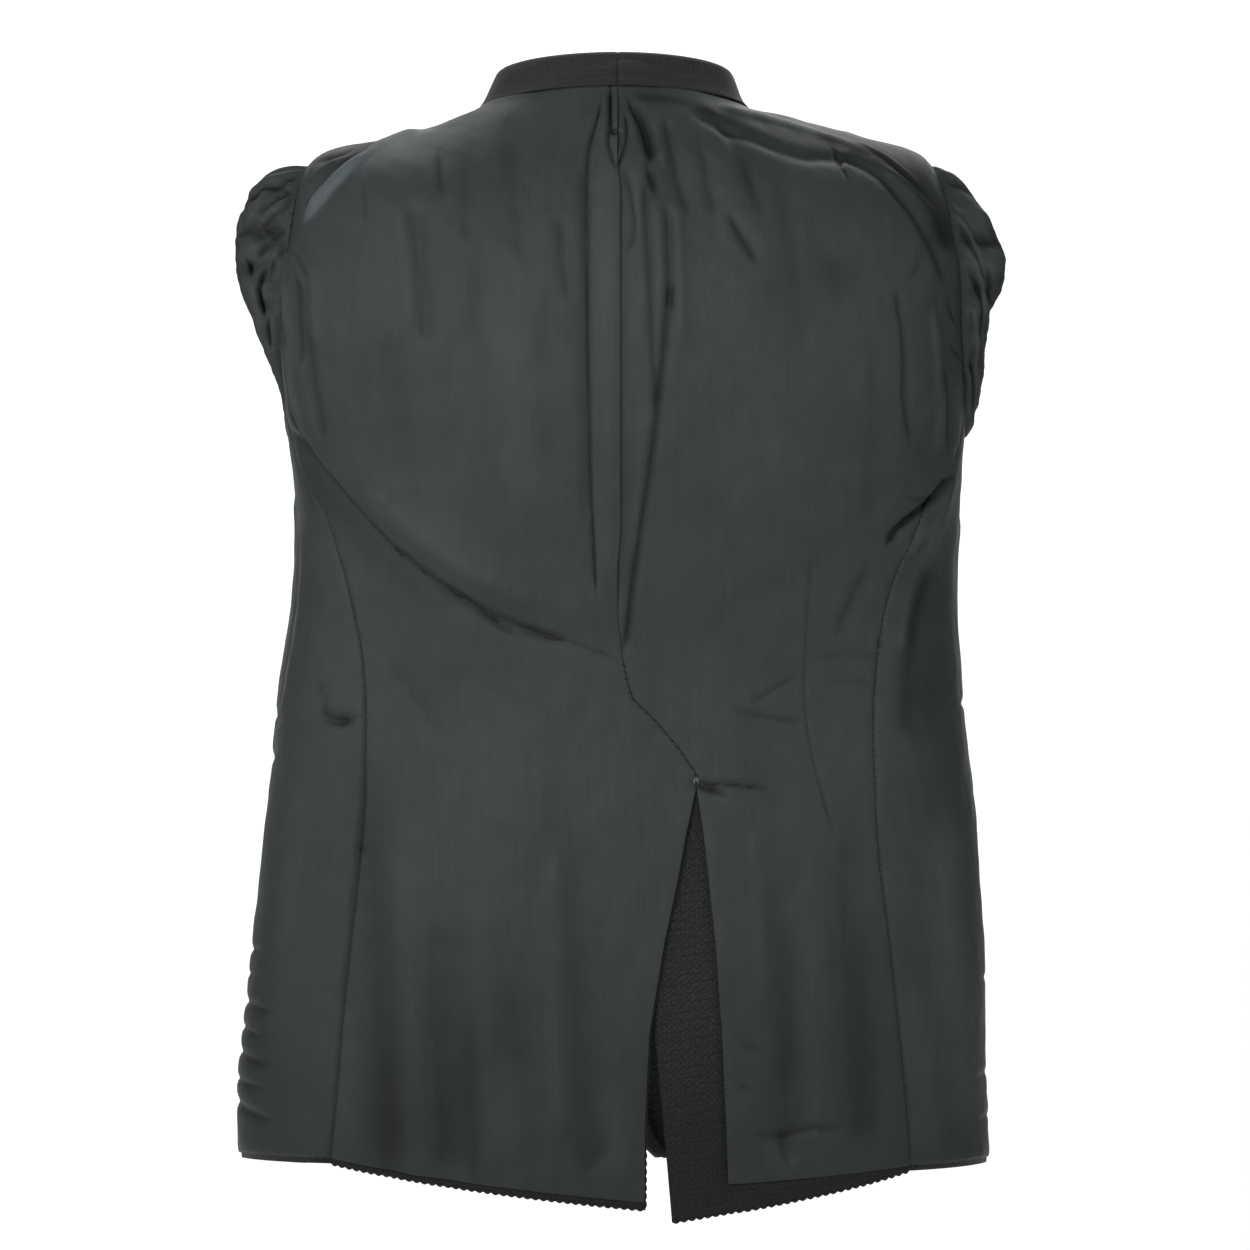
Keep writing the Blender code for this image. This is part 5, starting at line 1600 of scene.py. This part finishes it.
def threads(name, starts, ends, bow, thick, material):
    """Short six-sided threads from point to point, each bowed out in its middle."""
    around = np.radians(np.arange(0, 360, 60))
    points, faces = [], []
    for start, end, out in zip(starts, ends, bow):
        along = (end - start) / np.linalg.norm(end - start)
        wide = np.cross(along, out / np.linalg.norm(out))
        high = np.cross(wide, along)
        first = len(points) * len(around)
        for share in np.linspace(0, 1, THREAD_RINGS):
            middle = start + (end - start) * share + out * math.sin(math.pi * share)
            full = thick / 2 * (0.5 + 0.5 * math.sin(math.pi * share))
            ring = np.outer(np.cos(around), wide) + np.outer(np.sin(around), high)
            points.append(middle + ring * full)
        rings = first + np.arange(THREAD_RINGS * len(around)).reshape(THREAD_RINGS, -1)
        faces += grid_faces(rings, True)
        for ring in (rings[0][::-1], rings[-1]):
            faces.append(ring[[[0, 1, 4, 5], [1, 2, 3, 4]]])
    return mesh_piece(name, np.concatenate(points), np.concatenate(faces), material)


def on_lining(turn, level, side):
    """Points on the lining's outer face, and the way out there."""
    grid = pairs(turn, level)[None]
    height = lining_heights(on_torso(grid, side), grid, side)
    return raised(grid, side, height + LINING_WALL)[0], outward(turn, level, side)


def seam_threads(material):
    """Stitches down the slanted seam above the vent and the two side seams."""
    level = np.arange(*SLANT_STITCHES, -STITCH_STEP)
    lower = level - STITCH / 3
    left = turn_at(centre_edge(level, 1, True) + STITCH / 2, level, 1)
    right = turn_at(centre_edge(level, -1, True) + STITCH / 2, lower, -1)
    seams = [((left, level, 1), (right, lower, -1))]
    for side in (1, -1):
        level = np.arange(LINING_HEM_BACK_SEAM[side] + HEM_CLEARANCE, SEAM_STITCHES_TOP, STITCH_STEP)
        turn = seam_turn(level, side)
        seams.append(((turn + STITCH_TURN, level, side), (turn - STITCH_TURN, level, side)))
    starts = np.concatenate([on_lining(*first)[0] for first, _ in seams])
    ends = np.concatenate([on_lining(*second)[0] for _, second in seams])
    bow = np.concatenate([on_lining(*first)[1] for first, _ in seams]) * STITCH_THICK
    return threads("seam_stitches", starts, ends, bow, STITCH_THICK, material)


def bar_tack(material):
    """Pale threads that hold the top of the vent."""
    across, top, foot = np.array(TACK).T
    starts, bow = on_lining(turn_at(across, top, 1), top, 1)
    ends, _ = on_lining(turn_at(across - TACK_SLANT, foot, 1), foot, 1)
    return threads("vent_tack", starts, ends, bow * STITCH_THICK, STITCH_THICK, material)


def armhole_threads(side, material):
    """Hand stitches over the back of the armhole seam."""
    angle, seam = armhole_line(side)
    away = seam - seam.mean(axis=0)
    away /= np.linalg.norm(away, axis=1, keepdims=True)
    back = (angle > HOLE_STITCHES[0]) & (angle < HOLE_STITCHES[1])
    run = arc(seam[back][None], 1)[0]
    at = np.arange(0, run[-1], 2 * STITCH_STEP)
    seam, away = (
        np.stack([np.interp(at, run, axis) for axis in values[back].T], axis=1) for values in (seam, away)
    )
    out = np.array([HOLE_STITCHES_OUT[0] * side, HOLE_STITCHES_OUT[1], 0])
    starts = seam + away * STITCH / 2 + out * LINING_WALL
    ends = seam - away * STITCH / 3 + out * LINING_WALL + np.array([side * STITCH / 2, 0, -STITCH / 3])
    bow = np.tile(out * STITCH_THICK, (len(at), 1))
    return threads(f"armhole_stitches_{side_letter(side)}", starts, ends, bow, STITCH_THICK, material)


def vent_loops(material):
    """Looped border of the shell down the left edge of the vent."""
    rows, columns = GRID["vent_loops"]
    level = np.linspace(HEM_CENTRE[1] + VENT_LOOP_ENDS[0], VENT_TOP - VENT_LOOP_ENDS[1], rows)
    high = np.abs(np.sin(math.pi * level / HEM_LOOP_WIDTH))
    loops = VENT_LOOP_LOW + (1 - VENT_LOOP_LOW) * high
    beyond = SEAM_GAP + HEM_LOOP_DEPTH * loops[:, None] * np.linspace(0, 1, columns)
    edge = centre_edge(level, 1, False)[:, None] - beyond
    level = np.broadcast_to(level[:, None], edge.shape)
    grid = pairs(turn_at(edge, level, 1), level)
    piece = raised(grid, 1, -SHELL_WALL)
    # the loops carry painted shade
    return cloth("vent_loops", piece, SHELL_WALL, False, material, cut_uv(piece), tone_and_painted_light=VENT_LOOP_PAINTED_SHADE)


def button(material):
    """Round covered button on its shank, on the shell's inward face."""
    turn = turn_at(BUTTON_SET_IN, BUTTON_LEVEL, 1, True)
    normal = outward(turn, BUTTON_LEVEL, 1)
    place = torso(turn, BUTTON_LEVEL, 1) - normal * (SHELL_WALL + BUTTON_GAP + BUTTON_SHANK)
    wide = np.cross(normal, [0, 0, 1])
    wide /= np.linalg.norm(wide)
    high = np.cross(wide, normal)
    around = np.radians(np.arange(0, 360, 6))[:, None]
    rings = [
        place - normal * height * BUTTON_THICK
        + (wide * np.cos(around) + high * np.sin(around)) * radius * BUTTON_RADIUS
        for radius, height in BUTTON_OUTLINE
    ]
    index = np.arange(len(rings) * len(around)).reshape(len(rings), -1)
    faces = grid_faces(index, True)
    for ring in (index[0][::-1], index[-1]):
        back = ring[::-1]
        half = len(ring) // 2
        faces.append(np.stack([ring[:half - 1], ring[1:half], back[1:half], back[:half - 1]], axis=-1))
    return mesh_piece("covered_button", np.concatenate(rings), np.concatenate(faces), material)


# Stage


def studio(height):
    """White floor that curves up behind, soft lights and a camera at the photo's angle."""
    far, bend = BACKDROP_PLACE, BACKDROP_BEND
    profile = [(FLOOR_NEAR, height)]
    for angle in np.radians(np.linspace(0, 90, 16)):
        profile.append((far + bend - bend * math.sin(angle), height + bend - bend * math.cos(angle)))
    profile.append((far, height + BACKDROP_HEIGHT))
    points = np.array([[(x, y, z) for x in (-BACKDROP_HALF, BACKDROP_HALF)] for y, z in profile])
    index = np.arange(len(profile) * 2).reshape(-1, 2)
    faces = np.concatenate(grid_faces(index, False))
    white = plain("studio_white", BACKDROP_WHITE, 0.9)
    floor = mesh_piece("studio_floor", points.reshape(-1, 3), faces, white)
    del floor["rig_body"]
    for name, place, aim, power, size in LIGHTS:
        lamp = bpy.data.lights.new(name, "AREA")
        lamp.energy = power
        lamp.size = size
        holder = bpy.data.objects.new(name, lamp)
        holder.location = place
        holder.rotation_euler = (Vector(aim) - Vector(place)).to_track_quat("-Z", "Y").to_euler()
        bpy.context.scene.collection.objects.link(holder)
    world = bpy.data.worlds.new("studio")
    world.use_nodes = True
    world.node_tree.nodes["Background"].inputs["Color"].default_value = (1, 1, 1, 1)
    world.node_tree.nodes["Background"].inputs["Strength"].default_value = WORLD_STRENGTH
    bpy.context.scene.world = world
    bpy.context.scene.view_settings.view_transform = "Standard"
    lens = bpy.data.cameras.new("camera")
    lens.sensor_width = SENSOR_WIDTH
    lens.lens = SENSOR_WIDTH * CAMERA[1] / FRAME_WIDTH
    camera = bpy.data.objects.new("camera", lens)
    camera.location = CAMERA
    camera.rotation_euler = (math.pi / 2, 0, math.pi)
    bpy.context.scene.collection.objects.link(camera)
    bpy.context.scene.camera = camera


def main():
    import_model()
    lining = satin("lining_satin", LINING_COLOUR)
    shell = jacquard("shell_jacquard", *SHELL_JACQUARD)
    collar = jacquard("collar_jacquard", *COLLAR_JACQUARD)
    builders = {
        "lining_back": (lining_back, lining, "lining"),
        "lining_side": (lining_side, lining, "lining"),
        "lining_front": (lining_front, lining, "lining"),
        "shell_back": (shell_back, shell, "shell"),
        "shell_side": (shell_side, shell, "shell"),
        "shell_front": (shell_front, shell, "shell"),
        "facing": (facing, collar, "shell"),
        "sleeve_lining": (sleeve_head, lining, "lining"),
        "sleeve": (sleeve, shell, "shell"),
    }
    thread = plain("thread", THREAD_COLOUR, 0.7)
    loops = vent_loops(shell)
    for side in (1, -1):
        for node, (build, material, slot) in builders.items():
            piece = build(side, material)
            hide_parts(f"{node}_{side_letter(side)}")
        armhole_threads(side, thread)
    seam_threads(thread)
    bar_tack(plain("pale_thread", TACK_COLOUR, 0.7))
    cover = button(satin("button_satin", BUTTON_COLOUR, 0.4))
    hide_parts("button")
    studio(FLOOR_HEIGHT)


main()
